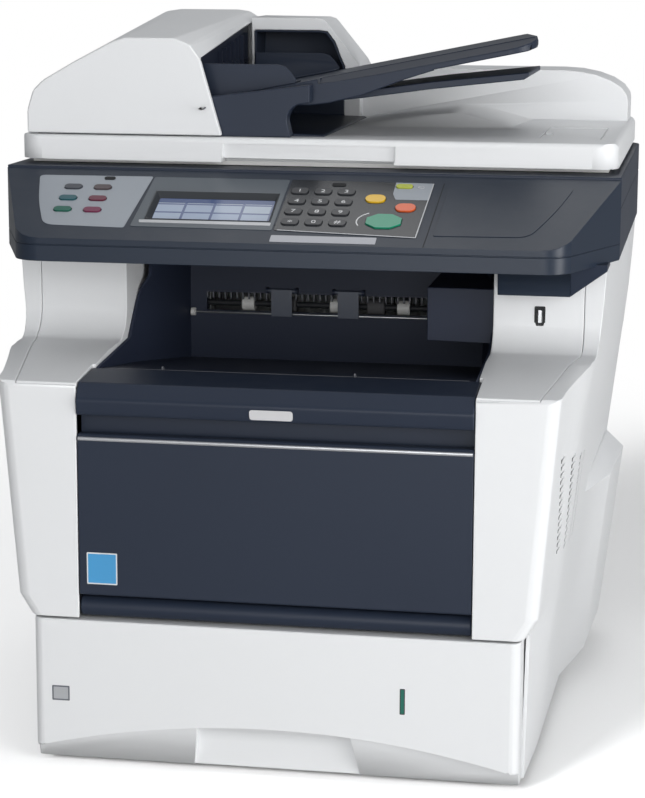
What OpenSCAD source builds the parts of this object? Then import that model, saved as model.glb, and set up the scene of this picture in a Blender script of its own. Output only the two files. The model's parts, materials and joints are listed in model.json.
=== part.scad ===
// Desktop laser photocopier: print engine with a paper drawer, a flatbed scanner on two
// columns, a tilted control panel and a document feeder on the lid.
// Front at -Y, floor at Z = 0, origin under the middle of the outer box. Millimetres.

/* [Overall] */
// Width of the scanner unit, the widest part
scanner_w = 494; // [488:1:510]
// Depth from the nose of the front cover to the back of the rear cover
depth = 490; // [484:1:510]
// Height of the rubber feet
foot_h = 5; // [4:1:8]
// Radius of a rubber foot
foot_r = 14; // [10:1:16]

/* [Print engine] */
// Width of the engine between its side covers at the floor
engine_w = 381; // [376:1:388]
// Height of the top of the side covers, where the scanner rests
engine_h = 393; // [385:1:410]
// Height of the front edge of the shoulders and of the front cover
shoulder_z = 307; // [300:1:312]
// Setback of the upper columns behind the front faces
column_set = 144; // [138:1:150]
// Wall of the white covers
skin_t = 3; // [2.5:0.5:4]
// Outward lean of the sides, mm for each mm of height
side_lean = 0.12; // [0.1:0.005:0.125]
// Width of the dark door opening between the front columns
door_w = 304; // [296:1:306]
// How far the nose of the front cover stands proud of the columns
lip_proud = 4; // [2:0.5:6]
// Length of one vent slot
vent_len = 11; // [8:1:13]
// Width of one vent slot
vent_w = 2.4; // [1.6:0.2:3]

/* [Paper drawer] */
// Height of the top edge of the drawer front
drawer_top = 122; // [118:1:126]
// Depth of the drawer front moulding
front_t = 28; // [26:1:34]
// Outer width of the paper tray
tray_w = 319; // [300:1:320]
// Length of the paper tray behind its front
tray_len = 372; // [340:1:390]
// Height of the paper tray walls
tray_h = 93; // [80:1:96]
// Rise of the arch under the drawer front
arch_h = 36; // [32:1:44]
// Height of the arch above the drawer's bottom edge at its ends
arch_end = 11; // [8:1:14]
// Width of the finger pull
pull_w = 118; // [90:1:130]
// Travel of the drawer
drawer_travel = 300; // [250:10:320]

/* [Front cover and bypass tray] */
// Height of the front cover's hinge
hinge_z = 131; // [130:0.5:132]
// Radius of the front cover's hinge barrel
barrel_r = 8; // [7:0.5:8]
// Thickness of the bypass tray door
bypass_t = 8; // [7:0.5:9]
// Height of the top edge of the bypass tray
bypass_top = 268; // [260:1:270]
// Height of the grip slot between the bypass tray and the lip
grip_h = 15; // [12:1:18]

/* [Output tray] */
// Height of the paper exit slot
slot_h = 16; // [12:1:20]
// Width of the paper exit slot
slot_w = 226; // [216:1:236]
// Setback of the cavity's back wall
cavity_set = 276; // [260:1:282]
// Drop of the tray floor from front to back
tray_drop = 30; // [20:1:34]

/* [Scanner] */
// Height of the scanner housing
scanner_h = 64; // [60:1:70]
// Width of the platen glass
glass_w = 360; // [340:1:370]
// Depth of the platen glass
glass_d = 232; // [222:1:240]
// Width of the feeder's reading slit glass
slit_w = 26; // [22:1:30]
// Thickness of the glass
glass_t = 3.2; // [2.5:0.1:4]

/* [Control panel] */
// Width of the panel's front face
panel_w = 410; // [400:1:420]
// Setback of the panel's front face
panel_set = 44; // [40:1:50]
// Height of the panel's front face
panel_face_h = 18; // [14:1:22]
// Wall of the panel shell
panel_t = 2.5; // [2:0.25:3]
// Width of the touch screen
screen_w = 100; // [90:1:102]
// Height of the touch screen along the slope
screen_d = 44; // [40:1:48]
// Height of a key cap above the panel
key_proud = 1.4; // [1:0.1:2]
// Gap between a key and its hole
key_gap = 0.35; // [0.3:0.05:0.45]
// Travel of a key
key_travel = 0.8; // [0.6:0.1:1]
// Distance between number keys across
key_pitch_x = 18.4; // [17:0.1:18.6]
// Distance between number key rows
key_pitch_y = 15.6; // [14.5:0.1:15.8]
// Distance between function key columns
pill_pitch_x = 24; // [22:0.5:26]
// Distance between function key rows
pill_pitch_y = 17.5; // [15:0.5:18]

/* [Lid and document feeder] */
// Width of the lid
lid_w = 486; // [480:1:488]
// Setback of the lid's front face
lid_set = 159; // [157:1:162]
// Height of the lid's front face
lid_h = 20; // [18:1:22]
// Gap under the lid
lid_gap = 4; // [3:0.5:5]
// Radius of the lid's front corners
lid_r = 20; // [14:1:26]
// Height of the ridge along the back of the lid
ridge_h = 44; // [38:1:48]
// Wall of the feeder cover
feeder_t = 3; // [2.5:0.5:4]
// Thickness of the feeder cover's front cheek
cheek_t = 8; // [6:0.5:8]
// Rise of the document table, mm for each mm of width
table_slope = 0.2; // [0.16:0.01:0.22]
// Thickness of the document table
table_t = 4; // [3:0.5:5]
// Length of a document guide
guide_len = 76; // [60:1:80]
// Height of a document guide at its tall end
guide_h = 30; // [24:1:32]

/* [Inside the engine] */
// Width of the steel frame
frame_w = 346; // [342:1:350]
// Thickness of the steel plates
plate_t = 2; // [1.5:0.5:2.5]
// Radius of the photoconductor drum
drum_r = 15; // [12:1:17]
// Radius of the toner bottle
toner_r = 26; // [22:1:28]
// Radius of the pickup rollers
pickup_r = 13; // [11:1:14]
// Radius of the exit rollers
exit_r = 7; // [6:0.5:8]

/* [Hidden] */
$fn = 48;
fit = 0.05;          // radial clearance of a pin in its bore
clear = 0.3;         // gap between parts that slide or seat
seam = 0.8;          // gap between neighbouring covers
front = -depth / 2;
face_y = front + lip_proud;
back = depth / 2;
engine_d = back - face_y;
door_half = door_w / 2;
cover_half = door_half - seam;
drawer_z0 = foot_h + 1;
floor_z = foot_h + plate_t;
scan_z0 = engine_h;
scan_z1 = scan_z0 + scanner_h;
lid_z0 = scan_z1 + lid_gap;
lid_z1 = lid_z0 + lid_h;
lid_y0 = face_y + lid_set;
lid_y1 = back - 8;
corner_set = column_set - 2;
panel_y0 = face_y + panel_set;
panel_y1 = face_y + corner_set;
deck_z0 = scan_z0 + panel_face_h;
deck_z1 = scan_z1 - 2;
deck_run = panel_y1 - panel_y0;
deck_angle = atan((deck_z1 - deck_z0) / deck_run);

// ---- helpers ----

// Place at a depth behind the front faces
function at(d) = face_y + d;
function blend(a, b, t) = let (s = min(max(t, 0), 1)) a + (b - a) * s * s * (3 - 2 * s);

// Half width of the outer skin at the front corner, by height
function front_half(z) = engine_w / 2
    + (z <= drawer_top ? 0 : min((z - drawer_top) * 0.63, 0.08 * (z - foot_h)));
// Half width of the outer skin behind the flare, by depth and height
function rear_half(d, z) = engine_w / 2 + 2 + 10 * d / engine_d + side_lean * (z - foot_h)
    - 4 * pow(max(0, z - 290) / 103, 2);
function half_w(d, z) = blend(front_half(z), rear_half(d, z), d / 110);

// Outline in X and Z carried along Y
module slab_y(outline, y0, y1) {
    translate([0, y1, 0]) rotate([90, 0, 0]) linear_extrude(y1 - y0) polygon(outline);
}

// Solid through a stack of equal outlines, counter-clockwise from above
module loft(outlines, heights) {
    n = len(outlines[0]);
    m = len(heights);
    points = [for (k = [0:m - 1]) for (p = outlines[k]) [p[0], p[1], heights[k]]];
    walls = [for (k = [0:m - 2]) for (i = [0:n - 1]) let (j = (i + 1) % n, a = k * n, b = a + n)
        each [[a + i, b + i, b + j], [a + i, b + j, a + j]]];
    bottom = [for (i = [0:n - 1]) i];
    top = [for (i = [n - 1:-1:0]) (m - 1) * n + i];
    polyhedron(points, concat(walls, [bottom, top]), convexity = 6);
}

// Outline in Y and Z carried along X, centred
module bar(outline, width) {
    rotate([90, 0, 90]) linear_extrude(width, center = true) polygon(outline);
}

// Cylinder along X, centred
module axle(r, length) {
    rotate([0, 90, 0]) cylinder(r = r, h = length, center = true);
}

// Rounded rectangle, centred
module round_rect(w, d, r) {
    square([w - 2 * r, d], center = true);
    square([w, d - 2 * r], center = true);
    for (sx = [-1, 1], sy = [-1, 1]) translate([sx * (w / 2 - r), sy * (d / 2 - r)]) circle(r);
}

module block(x0, x1, y0, y1, z0, z1) {
    translate([x0, y0, z0]) cube([x1 - x0, y1 - y0, z1 - z0]);
}

// ---- white side covers and columns ----

corner_r = 10;
cover_levels = [drawer_z0, 60, drawer_top, drawer_top + 17, 190, 240, 290, 325, 360, engine_h];
cover_depths = [30, 55, 80, 110, 150, 220, 300, 390, engine_d];

// Plan outline of half the engine, drawn in by an inset
function engine_outline(z, inset) = let (
    d0 = inset, r = corner_r - inset,
    w0 = half_w(corner_r, z) - inset,
    arc = [for (a = [-90:22.5:0]) [w0 - r + r * cos(a), face_y + corner_r + r * sin(a)]],
    side = [for (d = cover_depths) [half_w(d, z) - inset, face_y + d + (d == engine_d ? inset : 0)]]
) concat([[door_half - (inset > 0 ? 5 : 0), face_y + d0]], arc, side,
    [[door_half - (inset > 0 ? 5 : 0), back + inset]]);

module engine_half(inset) {
    low = drawer_z0 - (inset > 0 ? 1 : 0);
    levels = [for (z = cover_levels) z == drawer_z0 ? low : z];
    loft([for (z = levels) engine_outline(z, inset)], levels);
}

// Shoulder and column in side view: what lies above is cut away
shoulder_run = 88;
shoulder_rise = 11;
fillet_r = 26;
function shoulder_profile(inset) = let (
    zs = shoulder_z - inset, y1 = at(column_set) + inset,
    cy = y1 - fillet_r - inset, cz = zs + shoulder_rise + fillet_r + inset
) concat([[front - 20, zs - 3], [face_y + inset, zs - 3], [face_y + inset + 3, zs]],
    [[at(shoulder_run), zs + shoulder_rise]],
    [for (a = [-78:13:0]) [cy + (fillet_r + inset) * cos(a), cz + (fillet_r + inset) * sin(a)]],
    [[y1, engine_h + 20], [front - 20, engine_h + 20]]);

// Line of the seam between column cover and side cover, in plan
seam_line = [[door_half - 12, front - 10], [197, front - 10], [199, face_y], [221, at(130)],
    [223, at(engine_d) + 20], [door_half - 12, at(engine_d) + 20]];

module engine_shell() {
    difference() {
        engine_half(0);
        bar(shoulder_profile(0), 3 * scanner_w);
        difference() {
            engine_half(skin_t);
            bar(shoulder_profile(skin_t), 3 * scanner_w);
        }
        block(door_half - 2, scanner_w, front - 5, at(front_t + 0.6), 0, drawer_top + 1);
    }
}

// One side cover, on the right; the column cover takes the rest of the shell
module side_cover() {
    difference() {
        engine_shell();
        intersection() {
            translate([0, 0, shoulder_z - 5]) linear_extrude(200) polygon(seam_line);
            block(door_half - 6, scanner_w, at(1.5), back + 5, shoulder_z - 6, engine_h + 5);
        }
    }
}

module column_cover() {
    intersection() {
        engine_shell();
        translate([-seam / 2, 0, shoulder_z - 4.4]) linear_extrude(engine_h) polygon(seam_line);
        block(door_half - 6, scanner_w, at(2), at(column_set + 45), shoulder_z - 6, engine_h);
    }
    // wall back along the output tray
    difference() {
        block(door_half - 2.7, door_half + 0.5, at(tray_front + 1), at(column_set + 60),
            shoulder_z - 4, engine_h);
        bar(shoulder_profile(0), 3 * scanner_w);
    }
}

vent_rows = 14;
vent_cols = 4;
module vents() {
    for (i = [0:vent_cols - 1], k = [0:vent_rows - 1]) let (t = k / (vent_rows - 1))
        translate([scanner_w / 2 - 40, at((1 - t) * (38 + 36 * i) + t * (62 + 29 * i)),
            (1 - t) * (256 - 6 * i) + t * (180 - 3 * i)])
            rotate([14, 0, 0]) cube([70, vent_len, vent_w], center = true);
}

// Bulge low on the right side, towards the back
bulge_d = [250, 325, 446, 454];
bulge_proud = [0, 17, 20, 14];
bulge_z = [14, 22, 180, 193];
module side_bulge() {
    difference() {
        loft([for (z = bulge_z) let (f = z == bulge_z[0] || z == bulge_z[3] ? 0.15 : 1) concat(
            [[190, at(bulge_d[0])]],
            [for (i = [0:3]) [rear_half(bulge_d[i], z) - 1 + f * bulge_proud[i], at(bulge_d[i])]],
            [[190, at(bulge_d[3])]])], bulge_z);
        engine_half(skin_t);
    }
}

module left_side_cover() {
    color("whitesmoke") mirror([1, 0, 0]) side_cover();
}

module right_side_cover() {
    color("whitesmoke") difference() {
        union() {
            side_cover();
            side_bulge();
        }
        vents();
    }
}

// Socket for a memory stick in the right column
usb_w = 6;
usb_l = 14;
usb_x = 186;
usb_z = 346;
module column_covers() {
    color("whitesmoke") {
        mirror([1, 0, 0]) column_cover();
        difference() {
            union() {
                column_cover();
                block(usb_x - 6, usb_x + 6, at(column_set + skin_t - 1), at(column_set + 18),
                    usb_z - 10, usb_z + 10);
            }
            block(usb_x - usb_w / 2, usb_x + usb_w / 2, at(column_set - 5), at(column_set + 16),
                usb_z - usb_l / 2, usb_z + usb_l / 2);
        }
    }
}

// ---- steel frame ----

frame_half = frame_w / 2;
frame_d0 = 34;
frame_d1 = 468;
deck_z = 136;
rail_z = foot_h + tray_h - 8;
pickup_set = 75;
pickup_z = foot_h + tray_h + pickup_r + 5;
laser_z = 238;
fuser_z = 198;
module frame_side() {
    rotate([90, 0, 90]) linear_extrude(plate_t) polygon([[at(frame_d0), foot_h],
        [at(frame_d1), foot_h], [at(frame_d1), scan_z0], [at(column_set + 6), scan_z0],
        [at(column_set + 6), shoulder_z - 12], [at(frame_d0), shoulder_z - 12]]);
}

module base_frame() {
    inner = frame_half - plate_t;
    color("lightsteelblue") {
        difference() {
            union() {
                block(-frame_half, frame_half, at(frame_d0), at(frame_d1), foot_h, floor_z);
                for (m = [0, 1]) mirror([m, 0, 0]) translate([inner, 0, 0]) frame_side();
                // middle deck, laser shelf and fuser shelf
                block(-inner, inner, at(frame_d0), at(frame_d1), deck_z - plate_t, deck_z);
                block(-inner, inner, at(column_set + 6), at(cavity_set - 14), laser_z - plate_t,
                    laser_z);
                block(-inner, inner, at(cavity_set + 8), at(400), fuser_z - plate_t, fuser_z);
                // drawer rails and the blocks that carry the front cover's pins
                for (m = [0, 1]) mirror([m, 0, 0]) {
                    block(tray_w / 2 + 1, inner + 0.5, at(frame_d0), at(420), rail_z - 3, rail_z);
                    block(door_half + 0.5, frame_half, at(4), at(frame_d0 + 1), hinge_z - 7,
                        hinge_z + 8);
                }
            }
            translate([0, at(10), hinge_z]) axle(3 + fit, 2 * door_half + 14);
            translate([0, at(pickup_set), pickup_z]) axle(3 + fit, frame_w + 2);
            block(-120, 120, at(pickup_set - 22), at(pickup_set + 22), deck_z - 5, deck_z + 1);
        }
    }
}

module feet() {
    color("dimgray") for (x = [-1, 1], d = [62, 432])
        translate([x * (frame_half - 26), at(d), 0]) cylinder(r = foot_r, h = foot_h);
}

// ---- output tray ----

cavity_y = at(cavity_set);
tray_front = 48;
tray_floor = shoulder_z + 3;
slot_z0 = tray_floor + 12;
cavity_half = door_half - 3;
back_half = cavity_half - 22;
module output_tray() {
    z_back = tray_floor - tray_drop;
    color("#2b3140") {
        difference() {
            union() {
                // floor that falls towards the back
                bar([[at(tray_front), tray_floor - 3], [cavity_y + 2, z_back - 3],
                    [cavity_y + 2, z_back], [at(tray_front), tray_floor]], 2 * cavity_half);
                // back wall and the two side walls
                block(-cavity_half, cavity_half, cavity_y, cavity_y + 3, z_back - 3, engine_h);
                for (m = [0, 1]) mirror([m, 0, 0]) cavity_side(z_back);
                // ears of the exit rollers behind the wall, and of the flaps before it
                for (m = [0, 1]) mirror([m, 0, 0]) block(115, 119, cavity_y + 2, exit_y + 6,
                    exit_z - 6, exit_z + 6);
                for (x = flap_x, e = [-14, 11.7]) translate([x + e, 0, 0]) {
                    block(0, 2.3, flap_y, cavity_y + 1, flap_z - 2.5, flap_z + 2.5);
                    translate([1.15, flap_y, flap_z]) axle(2.5, 2.3);
                }
                // hood at the right, over the tray
                block(back_half - 32, cavity_half, at(column_set + 12), cavity_y + 1,
                    slot_z0, engine_h - 28);
            }
            block(-slot_w / 2, slot_w / 2, cavity_y - 1, cavity_y + 5, slot_z0, slot_z0 + slot_h);
            translate([0, exit_y, exit_z]) axle(2.5 + fit, 244);
            for (x = flap_x) translate([x, flap_y, flap_z]) axle(1.5 + fit, 32);
            // opening for the exit rollers behind the slot
            block(back_half - 29, cavity_half - 3, at(column_set + 15), cavity_y - 3, slot_z0 - 1,
                engine_h - 31);
        }
    }
}

// Side wall of the cavity, turned in towards the back
module cavity_side(z_back) {
    intersection() {
        linear_extrude(engine_h) polygon([[cavity_half - 2.5, at(tray_front)],
            [cavity_half, at(tray_front)], [cavity_half, at(column_set + 30)],
            [back_half + 3, cavity_y + 2], [back_half, cavity_y + 1],
            [cavity_half - 2.5, at(column_set + 28)]]);
        rotate([90, 0, 90]) translate([0, 0, -1]) linear_extrude(scanner_w) polygon([
            [at(tray_front), tray_floor - 3], [cavity_y + 3, z_back - 3],
            [cavity_y + 3, engine_h], [at(column_set + 58), engine_h],
            [at(column_set + 52), tray_floor + 52], [at(column_set + 36), tray_floor + 44],
            [at(column_set), tray_floor + 8], [at(tray_front), tray_floor + 1]]);
    }
}

exit_y = cavity_y + 12;
exit_z = slot_z0 + 5;
module exit_rollers() {
    color("gainsboro") translate([0, exit_y, exit_z]) {
        axle(2.5, 240);
        for (x = [-86, -43, -7, 40, 83]) translate([x, 0, 0]) axle(exit_r, 16);
    }
}

flap_y = cavity_y - 4;
flap_z = slot_z0 + slot_h + 3;
flap_x = [-46, 12];
module exit_flaps() {
    color("slategray") for (x = flap_x) translate([x, 0, 0]) {
        translate([0, flap_y, flap_z]) axle(1.5, 27.6);
        bar([[flap_y - 1.5, flap_z - 22], [flap_y + 0.5, flap_z - 22], [flap_y + 1.5, flap_z],
            [flap_y - 1.5, flap_z + 1]], 18);
    }
}

// ---- engine units ----

module laser_unit() {
    d = cavity_set - 14 - column_set - 10;
    color("dimgray") difference() {
        translate([0, at(column_set + 8) + d / 2, laser_z]) linear_extrude(26)
            round_rect(250, d, 10);
        block(-110, 110, at(column_set + 4), at(column_set + 14), laser_z + 6, laser_z + 14);
    }
}

process_z = deck_z + drum_r + 6;
module process_unit() {
    y = at(100);
    color("#3c4048") {
        translate([0, y + 18, process_z]) axle(drum_r, 226);
        difference() {
            block(-126, 126, y + 3, y + 100, deck_z, deck_z + 58);
            translate([0, y + 18, process_z]) axle(drum_r + clear, 228);
            block(-113, 113, y - 5, y + 18, deck_z + 5, deck_z + 30);
        }
        for (s = [-1, 1]) translate([s * 114, y + 18, process_z]) axle(4, 12);
    }
}

module toner_container() {
    color("#26292e") difference() {
        union() {
            translate([0, at(78), deck_z + 58 + toner_r]) axle(toner_r, 250);
            block(-125, 125, at(78), at(130), deck_z + 58, deck_z + 58 + 2 * toner_r - 8);
            block(-20, 20, at(48), at(60), deck_z + 68, deck_z + 88);
        }
        block(-14, 14, at(45), at(56), deck_z + 72, deck_z + 84);
    }
}

module fuser_unit() {
    y = at(cavity_set + 44);
    color("dimgray") difference() {
        union() {
            block(-130, 130, y - 32, y + 34, fuser_z, fuser_z + 72);
            translate([0, y + 10, fuser_z + 40]) axle(16, 280);
        }
        block(-112, 112, y - 4, y + 4, fuser_z - 1, fuser_z + 80);
    }
}

module pickup_roller() {
    color("dimgray") translate([0, at(pickup_set), pickup_z]) {
        axle(3, frame_w - 1);
        for (s = [-1, 1]) translate([s * 28, 0, 0]) axle(pickup_r, 26);
    }
}

// ---- front cover and bypass tray ----

bypass_hinge_d = 5;
bypass_hinge_z = hinge_z + barrel_r + 7;
module front_cover() {
    lip_z = bypass_top + grip_h;
    color("#333b4a") {
        translate([0, at(10), hinge_z]) axle(barrel_r, 2 * cover_half);
        translate([0, at(10), hinge_z]) axle(3, 2 * door_half + 12);
        bar([[at(13), hinge_z], [at(17), hinge_z], [at(17), lip_z + 14], [at(40), tray_floor - 2],
            [at(tray_front) - 1, tray_floor - 2], [at(tray_front) - 1, tray_floor + 0.5],
            [at(5), shoulder_z], [front + 0.6, shoulder_z - 11], [front, shoulder_z - 14],
            [front + 2, lip_z + 1], [front + 3, lip_z], [at(13), lip_z]], 2 * cover_half);
        for (s = [-1, 1]) translate([s * (cover_half - 5), 0, 0]) difference() {
            union() {
                translate([0, at(bypass_hinge_d), bypass_hinge_z]) axle(2.8, 4);
                block(-2, 2, at(bypass_hinge_d), at(14), bypass_hinge_z - 2.8,
                    bypass_hinge_z + 2.8);
            }
            translate([0, at(bypass_hinge_d), bypass_hinge_z]) axle(1.5 + fit, 6);
        }
    }
}

module bypass_tray() {
    z0 = bypass_hinge_z - 4.5;
    color("#2b3242") {
        difference() {
            bar([[at(0), z0 + 1], [at(1), z0], [at(bypass_t), z0], [at(bypass_t), bypass_top],
                [at(2), bypass_top], [at(0), bypass_top - 2]], 2 * cover_half);
            // feeding side: shallow bed with raised rims
            block(-112, 112, at(bypass_t - 3), at(bypass_t + 1), z0 + 14, bypass_top - 8);
            for (s = [-1, 1]) translate([s * (cover_half - 5), 0, 0])
                block(-2.6, 2.6, at(bypass_hinge_d - 3.2), at(bypass_t + 1), z0 - 1,
                    bypass_hinge_z + 4);
        }
        for (s = [-1, 1]) translate([s * (cover_half - 5), at(bypass_hinge_d), bypass_hinge_z])
            axle(1.5, 5.6);
    }
}

// ---- paper drawer ----

front_half_w = engine_w / 2 - skin_t / 2;
// Space under the arch of the drawer front
module arch_disc() {
    rise = arch_h - arch_end;
    r = (front_half_w * front_half_w + rise * rise) / (2 * rise);
    translate([0, at(0), arch_h - r]) rotate([90, 0, 0])
        cylinder(r = r, h = 4 * front_t, center = true, $fn = 240);
}

module drawer_front() {
    w = front_half_w;
    z1 = drawer_top - 1;
    color("whitesmoke") translate([0, 0, drawer_z0]) difference() {
        linear_extrude(z1 - drawer_z0) polygon(concat(
            [for (a = [180:22.5:270]) [-w + 8 + 8 * cos(a), at(8) + 8 * sin(a)]],
            [for (a = [270:22.5:360]) [w - 8 + 8 * cos(a), at(8) + 8 * sin(a)]],
            [[w, at(front_t)], [-w, at(front_t)]]));
        // face under the arch leans back, deeper at the finger pull
        intersection() {
            arch_disc();
            union() {
                bar([[at(-9), -1], [at(13), -1], [at(1.5), arch_h], [at(1.5), arch_h + 2],
                    [at(-9), arch_h + 2]], 3 * w);
                intersection() {
                    slab_y([[-pull_w / 2 - 5, -2], [pull_w / 2 + 7, -2], [pull_w / 2, arch_h + 2],
                        [-pull_w / 2, arch_h + 2]], at(-10), at(front_t));
                    bar([[at(-9), -1], [at(13), -1], [at(13.5), 20], [at(11), 28], [at(7), 31],
                        [at(1.5), arch_h + 2], [at(-9), arch_h + 2]], 3 * w);
                }
            }
        }
        // hollow behind the face
        block(-w + 4, w - 4, at(4), at(front_t + 1), arch_h + 4, z1 - drawer_z0 - 4);
        for (m = [0, 1]) mirror([m, 0, 0])
            block(pull_w / 2 + 10, w - 6, at(17), at(front_t + 1), 4, arch_h + 5);
    }
}

hinge_d = 250;
module drawer_box() {
    y0 = at(front_t);
    y1 = y0 + tray_len;
    w = tray_w / 2;
    z0 = floor_z + clear;
    color("#3a3f47") {
        difference() {
            block(-w, w, y0, y1, z0, floor_z + tray_h);
            block(-w + 2.5, w - 2.5, y0 + 3, y1 - 2.5, z0 + 2.5, floor_z + tray_h + 1);
        }
        for (m = [0, 1]) mirror([m, 0, 0]) {
            block(w - 1, w + 5, y0 + 12, y1, rail_z + clear, rail_z + clear + 3);
            difference() {
                block(101.5, 105.5, at(hinge_d - 6), at(hinge_d + 6), z0 + 2, z0 + 13);
                translate([100, at(hinge_d), z0 + 8]) rotate([0, 90, 0])
                    cylinder(r = 2 + fit, h = 8);
            }
        }
        // cross rib that stops the paper's far end
        block(-110, 110, at(352), at(355), z0 + 2, z0 + 60);
    }
}

guide_d0 = 110;
guide_d1 = 200;
module lift_plate() {
    z = floor_z + clear + 8;
    color("lightsteelblue") {
        difference() {
            block(-100, 100, at(56), at(hinge_d + 2), z - 0.7, z + 0.7);
            for (m = [0, 1]) mirror([m, 0, 0])
                block(50, 101, at(guide_d0 - 22), at(guide_d1 + 6), z - 2, z + 2);
        }
        translate([0, at(hinge_d), z]) axle(2, 209);
    }
}

module paper_guide() {
    z0 = floor_z + clear + 2.5 + clear;
    color("#2d5a8c") {
        difference() {
            block(-2.5, 0, at(guide_d0), at(guide_d1), z0, z0 + 66);
            for (d = [guide_d0 + 22, guide_d0 + 52])
                block(-4, 1, at(d), at(d + 16), z0 + 22, z0 + 48);
        }
        block(-26, 0, at(guide_d0), at(guide_d1), z0, z0 + 2);
    }
}

paper_half = 106;
module paper_guide_left() {
    translate([-paper_half, 0, 0]) paper_guide();
}

module paper_guide_right() {
    translate([paper_half, 0, 0]) mirror([1, 0, 0]) paper_guide();
}

// ---- rear ----

rear_w = 312;
rear_z0 = 128;
rear_z1 = 352;
inlet_x = 150;
inlet_z = 46;
switch_z = 92;
rear_pin = [back - 3.5, rear_z0 + 3.5];
module rear_panel() {
    function w(z) = rear_half(engine_d, z) - skin_t - clear;
    color("whitesmoke") {
        difference() {
            union() {
                translate([0, back - 2, 0]) rotate([90, 0, 0]) linear_extrude(skin_t) polygon([
                    [-w(drawer_z0), drawer_z0], [w(drawer_z0), drawer_z0],
                    [w(290), 290], [w(engine_h), engine_h - clear],
                    [-w(engine_h), engine_h - clear], [-w(290), 290]]);
                // pockets of the power inlet and of the power switch
                block(inlet_x - 17, inlet_x + 17, back - 24, back - 4, inlet_z - 13, inlet_z + 13);
                block(inlet_x - 11.5, inlet_x + 11.5, back - 16, back - 4, switch_z - 16.5,
                    switch_z + 16.5);
                // seats of the rear cover's pins
                for (m = [0, 1]) mirror([m, 0, 0]) block(rear_w / 2 + seam, rear_w / 2 + 9,
                    back - 9, back - 0.5, rear_z0 - 2, rear_z0 + 9);
            }
            block(-rear_w / 2 - seam, rear_w / 2 + seam, back - 8, back + 1, rear_z0 - seam,
                rear_z1 + seam);
            block(inlet_x - 14, inlet_x + 14, back - 22, back + 1, inlet_z - 10, inlet_z + 10);
            block(inlet_x - 9, inlet_x + 9, back - 14, back + 1, switch_z - 14, switch_z + 14);
            translate([inlet_x, back - 8, switch_z]) axle(1.2 + fit, 22);
            translate([0, rear_pin[0], rear_pin[1]]) axle(1.6 + fit, rear_w + 15);
        }
        for (p = [[-7, -2], [0, 2], [7, -2]]) translate([inlet_x + p[0], 0, inlet_z + p[1]])
            block(-1, 1, back - 23, back - 13, -2.5, 2.5);
    }
}

module power_switch() {
    color("black") translate([inlet_x, 0, switch_z]) {
        bar([[back - 10, -11], [back - 3, -12.2], [back - 3.6, 0], [back - 0.8, 12.2],
            [back - 8, 12], [back - 10, 8]], 17);
        translate([0, back - 8, 0]) axle(1.2, 21);
    }
}

module rear_cover() {
    color("whitesmoke") {
        difference() {
            union() {
                translate([0, back, 0]) rotate([90, 0, 0]) linear_extrude(6)
                    translate([0, (rear_pin[1] + rear_z1) / 2])
                    round_rect(rear_w, rear_z1 - rear_pin[1], 3);
                translate([0, rear_pin[0], rear_pin[1]]) axle(3.5, rear_w);
            }
            block(-rear_w / 2 + 4, rear_w / 2 - 4, back - 7, back - 3, rear_z0 + 14, rear_z1 - 4);
            // finger notch
            block(-24, 24, back - 4, back + 1, rear_z1 - 12, rear_z1 - 5);
        }
        // ribs that guide the sheet up behind the fuser
        for (x = [-110:22:110]) bar_at(x, 3, [[back - 2, rear_z0 + 30], [back - 2, rear_z1 - 30],
            [back - 10, rear_z1 - 44], [back - 16, (rear_z0 + rear_z1) / 2],
            [back - 10, rear_z0 + 44]]);
        translate([0, rear_pin[0], rear_pin[1]]) axle(1.6, rear_w + 13);
    }
}

module bar_at(x, w, outline) {
    translate([x, 0, 0]) bar(outline, w);
}

// ---- scanner ----

scan_half = scanner_w / 2;
scan_y0 = panel_y1 + 0.3;
scan_wall = 4;
glass_x0 = -160;
glass_y0 = lid_y0 + 34;
slit_x0 = glass_x0 - slit_w - 16;
module scanner_outline(inset) {
    r = 16;
    w = scan_half - inset;
    polygon(concat([[-w, scan_y0 + inset], [w, scan_y0 + inset]],
        [for (a = [0:15:90]) [w - r + r * cos(a), back - 4 - inset - r + r * sin(a)]],
        [for (a = [90:15:180]) [-w + r + r * cos(a), back - 4 - inset - r + r * sin(a)]]));
}

module scanner_body() {
    top_t = glass_t + 3;
    color("#2b3140") {
        difference() {
            translate([0, 0, scan_z0]) linear_extrude(scanner_h) scanner_outline(0);
            translate([0, 0, scan_z0 + 3]) linear_extrude(scanner_h - 3 - top_t)
                scanner_outline(scan_wall);
            // pockets and openings of the two glasses
            glass_cut(glass_x0, glass_w, clear / 2, glass_t);
            glass_cut(glass_x0, glass_w, -5, scanner_h / 2);
            glass_cut(slit_x0, slit_w, clear / 2, glass_t);
            glass_cut(slit_x0, slit_w, -4, scanner_h / 2);
            // seam between the lower and the upper moulding
            seam_z = scan_z0 + 0.62 * scanner_h;
            translate([0, 0, seam_z]) linear_extrude(0.8) difference() {
                scanner_outline(-1);
                scanner_outline(0.8);
            }
        }
        // rails that the carriage runs on
        for (y = [carriage_y0 + 12, carriage_y1 - 18])
            block(-scan_half + scan_wall - 1, scan_half - scan_wall + 1, y, y + 6, scan_z0 + 2,
                carriage_z0 - clear);
        for (s = [-1, 1]) lid_hinge_ears(s);
    }
}

module glass_cut(x0, w, grow, depth) {
    block(x0 - grow, x0 + w + grow, glass_y0 - grow, glass_y0 + glass_d + grow,
        scan_z1 - depth, scan_z1 + 1);
}

module platen_glass() {
    color("lightcyan", 0.5) for (g = [[glass_x0, glass_w], [slit_x0, slit_w]])
        block(g[0], g[0] + g[1], glass_y0, glass_y0 + glass_d, scan_z1 - glass_t, scan_z1);
}

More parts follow.
